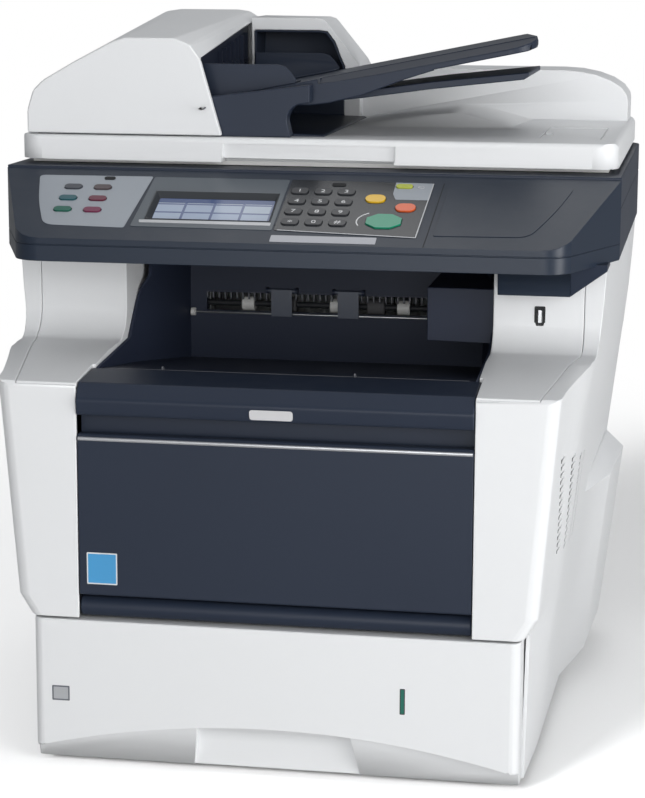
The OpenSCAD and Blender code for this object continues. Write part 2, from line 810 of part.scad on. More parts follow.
carriage_y0 = glass_y0 - 8;
carriage_y1 = glass_y0 + glass_d + 8;
carriage_z0 = scan_z0 + 12;
carriage_w = 46;
carriage_x0 = slit_x0 + slit_w / 2 - carriage_w / 2;
carriage_travel = glass_w + glass_x0 - slit_x0 - slit_w;
module scan_carriage() {
    color("dimgray") difference() {
        block(carriage_x0, carriage_x0 + carriage_w, carriage_y0, carriage_y1, carriage_z0,
            scan_z1 - glass_t - 8);
        block(carriage_x0 + 14, carriage_x0 + 22, carriage_y0 + 8, carriage_y1 - 8,
            carriage_z0 + 14, scan_z1);
        block(carriage_x0 + 27, carriage_x0 + 40, carriage_y0 + 8, carriage_y1 - 8,
            scan_z1 - glass_t - 12, scan_z1);
    }
}

// Lid hinges: ears on the scanner, a lug with a pin on the lid
lid_pin_y = back - 12;
lid_pin_z = scan_z1 + 9;
lid_hinge_x = 176;
module lid_hinge_ears(s) {
    for (x = [-12, 6]) translate([s * lid_hinge_x + x, 0, 0]) difference() {
        union() {
            block(0, 6, lid_pin_y - 6, lid_pin_y + 6, scan_z1 - 3, lid_pin_z);
            translate([0, lid_pin_y, lid_pin_z]) rotate([0, 90, 0]) cylinder(r = 6, h = 6);
        }
        translate([-1, lid_pin_y, lid_pin_z]) rotate([0, 90, 0]) cylinder(r = 3 + fit, h = 8);
    }
}

// ---- control panel ----

// Place things on the sloping deck: X across, Y up the slope, Z out of it
module on_deck(x, y, z = 0) {
    translate([0, panel_y0, deck_z0]) rotate([deck_angle, 0, 0]) translate([x, y, z]) children();
}

panel_r = 24;
module panel_outline(inset) {
    half = panel_w / 2;
    sweep = atan2(panel_y1 - panel_y0, scan_half - half);
    arc = [for (k = [0:4]) [half - 12 + (panel_r - inset) * sin(k * sweep / 4),
        panel_y0 + panel_r - (panel_r - inset) * cos(k * sweep / 4)]];
    ends = [[scan_half - inset, panel_y1 - inset], [scan_half - inset, panel_y1 + (inset > 0 ? 1 : 0)]];
    right = concat(arc, ends);
    polygon(concat(right, [for (k = [len(right) - 1:-1:0]) [-right[k][0], right[k][1]]]));
}

module panel_side(inset) {
    n = inset / cos(deck_angle);
    bar([[panel_y0 + inset, scan_z0 + inset], [panel_y1 + (inset > 0 ? 1 : 0), scan_z0 + inset],
        [panel_y1 + (inset > 0 ? 1 : 0), deck_z1 - n],
        [panel_y0 + inset, deck_z0 + inset * tan(deck_angle) - n]], 3 * scanner_w);
}

screen_x = -66;
screen_y = 53;
key_l = 8.4;
pill_x0 = -184;
pill_y0 = 43;
num_x0 = -1;
num_y0 = 32;
PILLS = [for (r = [2:-1:0]) for (c = [0:1]) [pill_x0 + c * pill_pitch_x, pill_y0 + r * pill_pitch_y]];
NUMS = [for (r = [3:-1:0]) for (c = [0:2]) [num_x0 + c * key_pitch_x, num_y0 + r * key_pitch_y]];
start_at = [71, 36];
stop_at = [85, 57];
reset_at = [60, 69.5];
power_at = [80, 89.5];

module pill_shape(grow) {
    round_rect(14 + 2 * grow, 6.6 + 2 * grow, 3.2 + grow);
}
module num_shape(grow) {
    round_rect(13 + 2 * grow, 8.4 + 2 * grow, 3 + grow);
}
module round_shape(grow) {
    round_rect(15.6 + 2 * grow, 11 + 2 * grow, 5.4 + grow);
}
module start_shape(grow) {
    polygon([for (a = [22.5:45:360]) [(14.6 + grow) * cos(a), (10.8 + grow) * sin(a)]]);
}
module power_shape(grow) {
    round_rect(13 + 2 * grow, 5.6 + 2 * grow, 2.7 + grow);
}

module control_panel() {
    color("#2f3746") {
        difference() {
            intersection() {
                translate([0, 0, scan_z0]) linear_extrude(scanner_h) panel_outline(0);
                panel_side(0);
            }
            intersection() {
                translate([0, 0, scan_z0]) linear_extrude(scanner_h) panel_outline(panel_t);
                panel_side(panel_t);
            }
            // seam under the deck
            translate([0, 0, deck_z0 - 1.6]) linear_extrude(0.8) difference() {
                panel_outline(-1);
                panel_outline(0.8);
            }
            // recess and window of the screen
            on_deck(screen_x, screen_y, -panel_t - 1) linear_extrude(10)
                square([screen_w, screen_d], center = true);
            // key holes
            for (p = PILLS) key_hole(p) pill_shape(key_gap);
            for (p = NUMS) key_hole(p) num_shape(key_gap);
            for (p = [stop_at, reset_at]) key_hole(p) round_shape(key_gap);
            key_hole(start_at) start_shape(key_gap);
            key_hole(power_at) power_shape(key_gap);
        }
        // carrier board under the keys and the screen's frame
        on_deck(-172, 62, -key_l - 2) linear_extrude(2) square([72, 78], center = true);
        on_deck(44, 60, -key_l - 2) linear_extrude(2) square([110, 78], center = true);
        for (x = [-209, -131, -12, 104]) on_deck(x, 62, -key_l - 2) linear_extrude(key_l)
            square([3, 76], center = true);
        on_deck(screen_x, screen_y, -6.6) linear_extrude(1.4)
            square([screen_w + 8, screen_d + 8], center = true);
        for (s = [-1, 1]) on_deck(screen_x + s * (screen_w / 2 + 3), screen_y, -6.6)
            linear_extrude(5.2) square([2, screen_d], center = true);
        // wedge under the right end, over the column
        bar_at(184, 56, [[at(column_set - 44), scan_z0 + 1], [at(column_set - 38), scan_z0 - 25],
            [panel_y1, scan_z0 - 25], [panel_y1, scan_z0 + 1]]);
    }
}

module key_hole(p) {
    on_deck(p[0], p[1], -panel_t - 2) linear_extrude(10) children();
}

module touch_screen() {
    color("#7f95c8") on_deck(screen_x, screen_y, -5) linear_extrude(2.4)
        square([screen_w - 0.6, screen_d - 0.6], center = true);
}

// A key: the cap shows above the deck, a flange holds it in, the foot ends above its switch
module key(p) {
    foot = -key_l + key_travel + 0.1;
    on_deck(p[0], p[1], foot) linear_extrude(key_proud - foot) children(0);
    on_deck(p[0], p[1], -panel_t - 1.6) linear_extrude(1.2) children(1);
}

module pill_key(i) {
    key(PILLS[i]) {
        pill_shape(0);
        pill_shape(1);
    }
}
module num_key(i) {
    color("#23262c") key(NUMS[i]) {
        num_shape(0);
        num_shape(1);
    }
}
module key_job() { color("slategray") pill_key(0); }
module key_box() { color("sienna") pill_key(1); }
module key_menu() { color("teal") pill_key(2); }
module key_copy() { color("firebrick") pill_key(3); }
module key_send() { color("seagreen") pill_key(4); }
module key_fax() { color("brown") pill_key(5); }
module key_1() { num_key(0); }
module key_2() { num_key(1); }
module key_3() { num_key(2); }
module key_4() { num_key(3); }
module key_5() { num_key(4); }
module key_6() { num_key(5); }
module key_7() { num_key(6); }
module key_8() { num_key(7); }
module key_9() { num_key(8); }
module key_star() { num_key(9); }
module key_0() { num_key(10); }
module key_hash() { num_key(11); }
module key_start() {
    color("mediumseagreen") key(start_at) {
        start_shape(0);
        start_shape(1);
    }
}
module key_stop() {
    color("orangered") key(stop_at) {
        round_shape(0);
        round_shape(1);
    }
}
module key_reset() {
    color("gold") key(reset_at) {
        round_shape(0);
        round_shape(1);
    }
}
module key_power() {
    color("yellowgreen") key(power_at) {
        power_shape(0);
        power_shape(1);
    }
}

// ---- lid ----

lid_half = lid_w / 2;
ridge_y0 = at(412);
ridge_x0 = -4;
function lid_profile(a, b, r) = concat([[a, lid_z0], [b, lid_z0]],
    [for (t = [0:18:90]) [b - r + r * cos(t), lid_z1 - r + r * sin(t)]],
    [for (t = [90:18:180]) [a + r + r * cos(t), lid_z1 - r + r * sin(t)]]);

// Right end of the ridge falls in an arc
function ridge_profile(inset) = let (top = lid_z1 + ridge_h - inset, x1 = lid_half - 5 - inset)
    concat([[ridge_x0 + inset, lid_z1 - 4], [x1, lid_z1 - 4], [x1, lid_z1 + 18]],
    [for (t = [10:16:90]) [x1 - 60 + 60 * cos(t), lid_z1 + 18 + (top - lid_z1 - 18) * sin(t)]],
    [[ridge_x0 + inset, top]]);

grip_x0 = -73;
grip_x1 = 67;
hump_set = 294;
stopper_x0 = 177;
stopper_x1 = 225;
stopper_y0 = at(206);
stopper_y1 = at(325);
module lid_base() {
    color("whitesmoke") {
        difference() {
            union() {
                intersection() {
                    translate([0, (lid_y0 + lid_y1) / 2, lid_z0]) linear_extrude(lid_h)
                        round_rect(lid_w, lid_y1 - lid_y0, lid_r);
                    slab_y(lid_profile(-lid_half, lid_half, 5), lid_y0 - 1, lid_y1 + 1);
                    bar(lid_profile(lid_y0, lid_y1, 4), lid_w + 2);
                }
                // hump of the delivery tray
                slab_y([[8, lid_z1 - 2], [156, lid_z1 - 2], [156, lid_z1], [146, lid_z1 + 2],
                    [112, lid_z1 + 11.5], [103, lid_z1 + 13], [92, lid_z1 + 13],
                    [50, lid_z1 + 9], [12, lid_z1 + 2], [8, lid_z1]], at(hump_set),
                    ridge_y0 + 1);
                slab_y(ridge_profile(0), ridge_y0, lid_y1);
            }
            // hollow from below, deeper behind the grip
            difference() {
                block(-lid_half + 5, lid_half - 5, lid_y0 + 5, lid_y1 - 5, lid_z0 - 1, lid_z1 - 3);
                block(grip_x0 - 6, grip_x1 + 6, lid_y0, lid_y0 + 16, lid_z0 - 2, lid_z1);
                for (x = [-130, -40, 60, 150]) block(x, x + 2.5, lid_y0, lid_y1, lid_z0 - 2, lid_z1);
                block(stopper_x0 - 4, stopper_x1 + 6, stopper_y0 - 6, stopper_y1 + 6, lid_z1 - 7,
                    lid_z1);
            }
            intersection() {
                slab_y(ridge_profile(3), ridge_y0 + 3, lid_y1 - 3);
                block(ridge_x0, lid_half, ridge_y0, lid_y1, lid_z1 - 3.5, lid_z1 + 90);
            }
            // grip in the front edge: a shallow recess, and a finger hollow behind its lip
            slab_y([[grip_x0, lid_z0 - 1], [grip_x1 - 4, lid_z0 - 1], [grip_x1 - 1, lid_z0 + 1],
                [grip_x1, lid_z0 + 4], [grip_x1, lid_z1 - 5], [grip_x0, lid_z1 - 5]],
                lid_y0 - 1, lid_y0 + 3);
            block(grip_x0 + 3, grip_x1 - 5, lid_y0 + 5.5, lid_y0 + 15, lid_z0 - 1, lid_z0 + 11);
            block(grip_x0, grip_x1 - 1, lid_y0 - 1, lid_y0 + 15, lid_z0 - 1, lid_z0 + 3);
            // path of the sheet down to the slit glass
            block(slit_x0 + 2, slit_x0 + slit_w - 2, glass_y0, glass_y0 + glass_d, lid_z0 - 1,
                lid_z1 + 1);
            // seat and bores of the sheet stopper
            block(stopper_x0 - 0.5, stopper_x1 + 1.6, stopper_y0 - 0.5, stopper_y1 + 0.5,
                lid_z1 - 3.4, lid_z1 + 1);
            stopper_pin(0.7 + fit, 2.2);
            for (s = [-1, 1]) lid_notch(s);
        }
        for (s = [-1, 1]) lid_lug(s);
        feeder_tower();
    }
}

module stopper_pin(r, over) {
    translate([stopper_x1, stopper_y1 + over, lid_z1 - 1.5]) rotate([90, 0, 0])
        cylinder(r = r, h = stopper_y1 - stopper_y0 + 2 * over);
}

module lid_notch(s) {
    block(s * lid_hinge_x - 13.5, s * lid_hinge_x + 13.5, lid_pin_y - 8, back + 1, lid_z0 - 1,
        lid_pin_z + 8);
}

module lid_lug(s) {
    translate([s * lid_hinge_x, lid_pin_y, lid_pin_z]) {
        axle(5, 11.4);
        axle(3, 23);
        block(-5.7, 5.7, -10, 0, 1, 5);
        block(-5.7, 5.7, -4, 4, 0, 10);
    }
}

module eject_stopper() {
    color("whitesmoke") {
        difference() {
            block(stopper_x0, stopper_x1, stopper_y0, stopper_y1, lid_z1 - 2.6, lid_z1 - 0.4);
            block(stopper_x0 - 1, stopper_x0 + 7, stopper_y0 + 46, stopper_y0 + 68, lid_z1 - 3,
                lid_z1);
        }
        translate([stopper_x1, stopper_y1, lid_z1 - 1.5]) rotate([90, 0, 0])
            cylinder(r = 1.1, h = stopper_y1 - stopper_y0);
        stopper_pin(0.7, 2);
    }
}

module platen_pad() {
    color("white") difference() {
        block(-lid_half + 8, lid_half - 8, lid_y0 + 16, lid_y1 - 14, scan_z1 + 0.6, lid_z0);
        block(slit_x0 - 2, slit_x0 + slit_w + 2, glass_y0 - 2, glass_y0 + glass_d + 2, scan_z1,
            lid_z0 + 1);
        for (s = [-1, 1]) lid_notch_pad(s);
    }
}

module lid_notch_pad(s) {
    block(s * lid_hinge_x - 15, s * lid_hinge_x + 15, lid_pin_y - 14, back, scan_z1, lid_z0 + 1);
}

// ---- document feeder ----

feeder_z0 = lid_z1 + 1.2;
feeder_d0 = lid_set;
feeder_d1 = 462;
feeder_x0 = -235;
arc_front = [[feeder_x0, 0], [feeder_x0, 18], [-230, 34], [-222, 42], [-196, 57], [-163, 74],
    [-152, 77], [-112, 77], [-99, 72], [-91, 60.5], [-73.5, 0]];
arc_back = [[feeder_x0, 0], [feeder_x0, 28], [-232, 52], [-222, 68], [-206, 82], [-192, 90],
    [-178, 92], [-124, 92], [-113, 90.5], [-104, 85], [-100, 0]];
// The inner outline ends at the lip of the right edge and leaves the side below it open
function feeder_outline(arc, inset) = let (n = len(arc)) inset == 0
    ? [for (i = [n - 1:-1:0]) [arc[i][0], feeder_z0 + arc[i][1]]]
    : concat([[-58, feeder_z0 - 2], [-58, feeder_z0 + arc[n - 2][1]]],
        [for (i = [n - 2:-1:0]) [arc[i][0] + (i < 6 ? inset : i < n - 3 ? 0 : -inset),
            feeder_z0 + arc[i][1] - (i == n - 2 || i == 1 ? 0 : i == 0 ? 2 : inset)]]);

module feeder_loft(inset, d0, d1) {
    function f(d) = let (t = (d - feeder_d0) / (feeder_d1 - feeder_d0))
        (1 - t) * feeder_outline(arc_front, inset) + t * feeder_outline(arc_back, inset);
    rotate([90, 0, 0]) loft([f(d1), f(d0)], [-at(d1), -at(d0)]);
}

cover_axis = [-232.8, feeder_z0 + 2.6];
drum_at = [-176, lid_z1 + 26];
ear_d = [205, 425];
module feeder_cover() {
    color("whitesmoke") {
        difference() {
            feeder_loft(0, feeder_d0, feeder_d1);
            feeder_loft(feeder_t, feeder_d0 + cheek_t, feeder_d1 - 3);
            for (d = ear_d) block(feeder_x0 - 1, feeder_x0 + 12, at(d - 0.4), at(d + 6.4),
                feeder_z0 - 1, feeder_z0 + 7);
        }
        for (d = ear_d) translate([cover_axis[0], at(d + 9), cover_axis[1]]) rotate([90, 0, 0])
            cylinder(r = 1.2, h = 12);
        // ribs that turn the sheet round under the cover
        for (d = [230:50:380]) intersection() {
            feeder_loft(1.5, feeder_d0 + 2, feeder_d1 - 1);
            difference() {
                slab_y([[-230, feeder_z0 + 24], [-150, feeder_z0 + 24], [-150, feeder_z0 + 95],
                    [-230, feeder_z0 + 95]], at(d), at(d + 3));
                translate([drum_at[0], at(d + 4), drum_at[1]]) rotate([90, 0, 0])
                    cylinder(r = 32, h = 5);
            }
        }
    }
}

roller_x = -125;
roller_z = lid_z1 + 39;
module feeder_frame() {
    z = lid_z1;
    color("#2b3140") {
        difference() {
            block(-229, -93, at(170), at(456), z, z + 3);
            block(slit_x0 + 1, slit_x0 + slit_w - 1, glass_y0, glass_y0 + glass_d, z - 1, z + 4);
            block(tower_x0 - clear, -90, at(401), at(457), z - 1, z + 4);
        }
        // wall of the separation unit, open where the sheets pass, with its ribs
        difference() {
            bar_at(-110.5, 3, [[at(172), z + 2], [at(172), z + 69], [at(434), z + 80],
                [at(434), z + 2]]);
            block(-114, -107, at(190), at(397), z + 3, z + 37);
        }
        for (k = [0:6]) block(-109.5, -105.5, at(306 + 18 * k), at(309 + 18 * k), z + 40,
            z + 62 + 2 * k);
        block(-109.5, -106.5, at(300), at(424), z + 48, z + 51);
        // ears for the cover's pins and for the feed roller
        for (d = ear_d) difference() {
            union() {
                translate([cover_axis[0], at(d + 6), cover_axis[1]]) rotate([90, 0, 0])
                    cylinder(r = 2.4, h = 6);
                block(cover_axis[0], -226, at(d), at(d + 6), z + 1.2, cover_axis[1] + 1);
            }
            translate([cover_axis[0], at(d + 7), cover_axis[1]]) rotate([90, 0, 0])
                cylinder(r = 1.2 + fit, h = 8);
        }
        for (d = [192, 388]) difference() {
            block(roller_x - 9, roller_x + 9, at(d), at(d + 4), z + 2, roller_z + 7);
            translate([roller_x, at(d + 5), roller_z]) rotate([90, 0, 0])
                cylinder(r = 3 + fit, h = 6);
        }
        // drum that the sheet turns round
        translate([drum_at[0], at(390), drum_at[1]]) rotate([90, 0, 0]) cylinder(r = 20, h = 190);
        block(drum_at[0] - 4, drum_at[0] + 4, at(204), at(386), z + 2, z + 10);
    }
}

module feed_roller() {
    color("dimgray") {
        translate([roller_x, at(392), roller_z]) rotate([90, 0, 0]) cylinder(r = 3, h = 200);
        translate([roller_x, at(312), roller_z]) rotate([90, 0, 0]) cylinder(r = 11, h = 44);
    }
}

tower_x0 = -99;
liner_t = 2;
// Recess in the tower's front, drawn in by an inset
function tower_recess(i) = [[tower_x0 + 2.5 + i, lid_z1 + 24 + i], [-12 - i, lid_z1 + 24 + i],
    [-14 - i, lid_z1 + 45], [-18 - i, lid_z1 + 54], [-23 - i, lid_z1 + 67 - i / 2],
    [-30 - i / 2, lid_z1 + 76 - i], [-37, lid_z1 + 77 - i], [tower_x0 + 2.5 + i, lid_z1 + 77 - i]];
module feeder_tower() {
    difference() {
        slab_y([[tower_x0, lid_z1 - 1], [0, lid_z1 - 1], [0, lid_z1 + 44], [-3, lid_z1 + 50],
            [-12, lid_z1 + 61], [-21, lid_z1 + 72], [-30, lid_z1 + 83], [-33, lid_z1 + 86],
            [-38, lid_z1 + 87.5], [tower_x0, lid_z1 + 88]], at(402), at(466));
        slab_y(tower_recess(0), at(400), at(440));
        slab_y([[tower_x0 + 4, lid_z1], [-4, lid_z1], [-4, lid_z1 + 20],
            [tower_x0 + 4, lid_z1 + 20]], at(406), at(462));
    }
}

table_x0 = -96;
table_x1 = 175;
table_d0 = 184;
table_d1 = 398;
pivot = [-88, lid_z1 + 24];
function table_z(x) = lid_z1 + 43 + table_slope * (x + 14);
module feeder_throat() {
    z = lid_z1;
    color("#2b3140") difference() {
        union() {
            // front wall with the rounded mouth at its right end
            slab_y(concat([[-92, z], [-19, z], [-21, z + 9]],
                [for (a = [180:-18:90]) [-9 + 13 * cos(a), z + 13 + 14 * sin(a)]],
                [[-3.5, z + 28], [-3.5, z + 42], [-92, z + 31]]), at(168), at(table_d0 - 2));
            slab_y([[-92, z], [-60, z], [-62, z + 16], [-92, z + 16]], at(table_d0 - 3),
                at(table_d1 + 3));
            slab_y([[-62, z], [7, z], [5, z + 1.5], [-62, z + 3]], at(table_d0 - 2.5),
                at(table_d1 + 1));
            // back wall, and the seat of the table's rear pin
            slab_y([[-92, z], [-14, z], [-14, z + 18], [-70, z + 22], [-82, z + 29],
                [-92, z + 29]], at(table_d1 + 0.6), at(table_d1 + 3.6));
            // dark liner of the tower's recess
            difference() {
                slab_y(tower_recess(clear), at(table_d1 + 2), at(440) - clear);
                slab_y(tower_recess(liner_t), at(table_d1), at(440) - liner_t);
            }
        }
        for (d = [table_d0 - 6, table_d1]) translate([pivot[0], at(d + 6), pivot[1]])
            rotate([90, 0, 0]) cylinder(r = 2 + fit, h = 6);
    }
}

module table_plan() {
    polygon(concat([[table_x0, at(table_d0)]],
        [for (a = [270:18:360]) [table_x1 - 22 + 22 * cos(a), at(table_d0 + 22) + 22 * sin(a)]],
        [for (a = [0:18:90]) [table_x1 - 34 + 10 * cos(a), at(table_d1 - 10) + 10 * sin(a)]],
        [[table_x0, at(table_d1)]]));
}

module document_table() {
    tip = table_z(table_x1);
    color("#333b4a") {
        intersection() {
            translate([0, 0, lid_z1]) linear_extrude(120) table_plan();
            difference() {
                slab_y([[table_x0, table_z(table_x0)], [table_x0, table_z(table_x0) - table_t],
                    [5, table_z(5) - 5], [82, table_z(82) - 10], [table_x1 - 7, tip - 11],
                    [table_x1 - 2, tip - 9], [table_x1, tip - 6], [table_x1, tip - 3],
                    [table_x1 - 3, tip]], at(table_d0) - 1, at(table_d1) + 1);
                // hollow under the sheet bed
                intersection() {
                    slab_y([[-20, table_z(-20) - table_t], [-20, table_z(-20) - 20],
                        [table_x1 + 5, table_z(table_x1) - 40],
                        [table_x1 + 5, table_z(table_x1 + 5) - table_t]], at(table_d0 + 24),
                        at(table_d1));
                    translate([0, 0, lid_z1]) linear_extrude(120) offset(delta = -3) table_plan();
                }
                // front edge falls away beside the sheet
                translate([0, 0, table_z(0)]) rotate([0, -atan(table_slope), 0])
                    translate([100, 0, 0]) bar([[at(table_d0) - 2, -5.5], [at(table_d0 + 22), 0],
                    [at(table_d0 + 22), 3], [at(table_d0) - 2, 3]], 200);
            }
        }
        // skirt under the front edge
        slab_y([[-58, table_z(-58) - table_t - 2], [-24, lid_z1 + 24.5], [-6, lid_z1 + 25],
            [9, lid_z1 + 27], [36, lid_z1 + 33.5], [52, lid_z1 + 39.5], [72, lid_z1 + 47],
            [94, lid_z1 + 54], [94, table_z(94) - 6], [-58, table_z(-58) - table_t + 1]],
            at(table_d0), at(table_d0 + 3));
        // lower wing over the delivery tray, joined at the left end
        slab_y([[-58, table_z(-58) - table_t - 3], [-20, lid_z1 + 24], [30, lid_z1 + 29.5],
            [90, lid_z1 + 38], [164, lid_z1 + 46.5], [168, lid_z1 + 49], [168, lid_z1 + 52.5],
            [90, lid_z1 + 44], [30, lid_z1 + 35.5], [-20, table_z(-20) - table_t + 1],
            [-58, table_z(-58) - table_t + 1]], at(table_d0 + 22), at(table_d0 + 132));
        for (d = [table_d0 + 2, table_d1 + 3.5]) translate([pivot[0], at(d), pivot[1]])
            rotate([90, 0, 0]) cylinder(r = 2, h = 7.5);
    }
}

module document_guide(d, foot) {
    x0 = -94;
    x1 = x0 + guide_len;
    top = table_z(x0) + guide_h;
    color("#2b3140") {
        slab_y([[x0, table_z(x0) + clear], [x1, table_z(x1) + clear], [x1, table_z(x1) + 3],
            [x1 - 5, top - 5], [x1 - 9, top - 1.5], [x1 - 15, top], [x0, top]],
            at(d), at(d + 2.5));
        slab_y([[x0, table_z(x0) + clear], [x1, table_z(x1) + clear],
            [x1, table_z(x1) + clear + 1.5], [x0, table_z(x0) + clear + 1.5]],
            at(min(d, d + foot)), at(max(d, d + foot) + 2.5));
    }
}

module document_guide_front() {
    document_guide(table_d0 + 2, 22);
}

module document_guide_rear() {
    document_guide(table_d1 - 4.5, -22);
}

base_frame();
feet();
left_side_cover();
right_side_cover();
column_covers();
output_tray();
rear_panel();
laser_unit();
process_unit();
toner_container();
fuser_unit();
scanner_body();
platen_glass();
control_panel();
touch_screen();
exit_rollers();
exit_flaps();
front_cover();
bypass_tray();
drawer_box();
drawer_front();
lift_plate();
paper_guide_left();
paper_guide_right();
rear_cover();
scan_carriage();
lid_base();
platen_pad();
feeder_frame();
feeder_throat();
feeder_cover();
document_table();
document_guide_front();
document_guide_rear();
feed_roller();
pickup_roller();
eject_stopper();
power_switch();
key_job();
key_box();
key_menu();
key_copy();
key_send();
key_fax();
key_1();
key_2();
key_3();
key_4();
key_5();
key_6();
key_7();
key_8();
key_9();
key_star();
key_0();
key_hash();
key_start();
key_stop();
key_reset();
key_power();
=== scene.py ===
# %% [markdown]
# # A desktop photocopier
#
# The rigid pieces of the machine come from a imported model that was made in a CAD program. This
# file gives them rounded edges, real materials and the small trim that a designer adds last:
# key plates, printed digits, a screen, a silver stripe. Everything is in metres, the front of
# the machine looks along -Y, and the floor is at Z = 0.

# %% Load the frame
import json
import math
import bmesh
import bpy
import numpy as np
from mathutils import Matrix, Vector
from mathutils.bvhtree import BVHTree
from mathutils.geometry import delaunay_2d_cdt


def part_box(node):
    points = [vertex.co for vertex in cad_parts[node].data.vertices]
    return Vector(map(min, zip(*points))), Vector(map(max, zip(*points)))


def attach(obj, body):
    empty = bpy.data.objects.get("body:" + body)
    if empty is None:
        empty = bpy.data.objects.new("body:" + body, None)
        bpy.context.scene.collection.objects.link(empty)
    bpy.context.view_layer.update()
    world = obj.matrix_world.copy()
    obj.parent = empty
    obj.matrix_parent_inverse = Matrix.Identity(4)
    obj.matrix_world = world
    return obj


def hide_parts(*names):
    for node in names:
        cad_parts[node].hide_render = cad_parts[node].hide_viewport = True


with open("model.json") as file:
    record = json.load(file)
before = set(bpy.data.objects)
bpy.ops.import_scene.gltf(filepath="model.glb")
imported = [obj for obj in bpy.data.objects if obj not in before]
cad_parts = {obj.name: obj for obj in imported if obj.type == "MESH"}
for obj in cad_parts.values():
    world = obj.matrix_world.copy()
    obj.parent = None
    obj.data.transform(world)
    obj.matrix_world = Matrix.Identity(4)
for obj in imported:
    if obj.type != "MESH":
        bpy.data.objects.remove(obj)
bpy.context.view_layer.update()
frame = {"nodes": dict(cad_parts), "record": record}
nodes = frame["nodes"]
node_body = {n: body for body, names in frame["record"]["behaviour"]["bodies"].items() for n in names}
node_slot = {p["node"]: p["material_slot"] for p in frame["record"]["subparts"]}
print("pieces in the frame:", len(nodes))

# %% [markdown]
# ## Camera
#
# The camera stands a little to the right of the machine and looks slightly down. A long lens
# keeps the uprights nearly parallel. Its place was worked out from edges whose real
# directions are known, so the turn is given as three angles: round the machine, above the
# horizon, and a slight roll.

# %% Camera
CAMERA_AT = Vector((0.3285, -1.8857, 0.6307))
AROUND, ABOVE, ROLL = (math.radians(a) for a in (10.02, 11.13, 0.25))
IMAGE_LONG_SIDE = 798
FOCAL_LENGTH = 2295
SENSOR = 36

scene = bpy.context.scene
scene.view_settings.view_transform = "Standard"


def new_object(name, data):
    """Object with the given data, linked to the scene."""
    thing = bpy.data.objects.new(name, data)
    scene.collection.objects.link(thing)
    return thing


backward = Vector((math.sin(AROUND) * math.cos(ABOVE), -math.cos(AROUND) * math.cos(ABOVE),
                   math.sin(ABOVE)))
level = Vector((0, 0, 1)).cross(backward).normalized()
upward = backward.cross(level)
right = level * math.cos(ROLL) + upward * math.sin(ROLL)
upward = upward * math.cos(ROLL) - level * math.sin(ROLL)

camera = new_object("camera", bpy.data.cameras.new("camera"))
camera.data.sensor_width = SENSOR
camera.data.lens = SENSOR * FOCAL_LENGTH / IMAGE_LONG_SIDE
camera.data.clip_end = 50
turn = Matrix((right, upward, backward)).transposed().to_4x4()
camera.matrix_world = Matrix.Translation(CAMERA_AT) @ turn
scene.camera = camera
print("lens:", round(camera.data.lens, 1), "mm")

# %% [markdown]
# ## Helpers for shader nodes
#
# Lights, floor and plastics are all built from shader nodes. A node is added with its settings
# and its inputs in one call; an input takes a value or the output of another node.

# %% Node helpers
def feed(node, **links):
    """Set or link a node's inputs, by name with _ for a space, or by place as i0, i1 and so on."""
    for label, value in links.items():
        by_place = label[0] == "i" and label[1:].isdigit()
        socket = node.inputs[int(label[1:]) if by_place else label.replace("_", " ")]
        if isinstance(value, bpy.types.NodeSocket):
            node.id_data.links.new(value, socket)
        else:
            socket.default_value = value
    return node


def add(tree, kind, settings=(), **links):
    """New node of a kind, with its attributes set and its inputs fed."""
    node = tree.nodes.new(kind)
    for key, value in dict(settings).items():
        setattr(node, key, value)
    return feed(node, **links)


def calc(tree, operation, *values):
    """Output of a math node that is fed with up to three values."""
    inputs = {f"i{k}": value for k, value in enumerate(values)}
    return add(tree, "ShaderNodeMath", {"operation": operation}, **inputs).outputs[0]


def mixed(tree, share, first, second):
    """Colour between two colours, by a share from 0 to 1."""
    mix = add(tree, "ShaderNodeMix", {"data_type": "RGBA"}, i0=share, i6=first, i7=second)
    return mix.outputs[2]


def new_paint(name):
    """New material, with its node tree and its surface node."""
    paint = bpy.data.materials.new(name)
    paint.use_nodes = True
    return paint, paint.node_tree, paint.node_tree.nodes["Principled BSDF"]


# %% [markdown]
# ## Light and floor
#
# Product pictures are lit by large soft lights. Here a low box stands in front and a second one
# at the right, so that upright faces are bright, a smaller and higher one between them reaches
# the panel, and a weak one above keeps the flat tops a little darker than the fronts. A box
# behind gives the sloping deck its sheen, and a pale world fills the rest. A distant lamp that
# is linked to the floor alone throws the machine's soft shadow. Camera rays that miss
# everything see plain white. The floor near the machine is lit by the lamps and keeps the
# shadow; further out it fades to the same white, so that no horizon shows. To every other ray
# the floor is a dull grey, so that it doesn't light the machine from below.

# %% Lamps, world and floor
def soft_box(name, place, target, size, watts):
    """Square area lamp at a place, turned so that it faces a target point."""
    lamp = new_object(name, bpy.data.lights.new(name, "AREA"))
    lamp.data.size = size
    lamp.data.energy = watts
    lamp.location = place
    lamp.rotation_euler = (Vector(target) - Vector(place)).to_track_quat("-Z", "Y").to_euler()


MIDDLE = (0, 0, 0.3)
soft_box("front_box", (0.3, -2.8, 0.5), MIDDLE, 1.6, 31)
soft_box("side_box", (2.4, -1.0, 0.3), (0, 0, 0.25), 1.2, 40)
soft_box("top_box", (-0.1, -0.4, 2.6), MIDDLE, 2.4, 12)
soft_box("fill_box", (1.5, -1.9, 1.15), (0.1, 0, 0.48), 0.8, 11)
soft_box("sheen_box", (-0.1, 1.5, 2.7), (0, -0.15, 0.42), 1.5, 9)
distant = new_object("distant", bpy.data.lights.new("distant", "SUN"))
distant.data.energy = 3.8
distant.data.angle = math.radians(15)
distant.rotation_euler = Vector((-0.44, -0.85, 0.42)).to_track_quat("Z", "Y").to_euler()

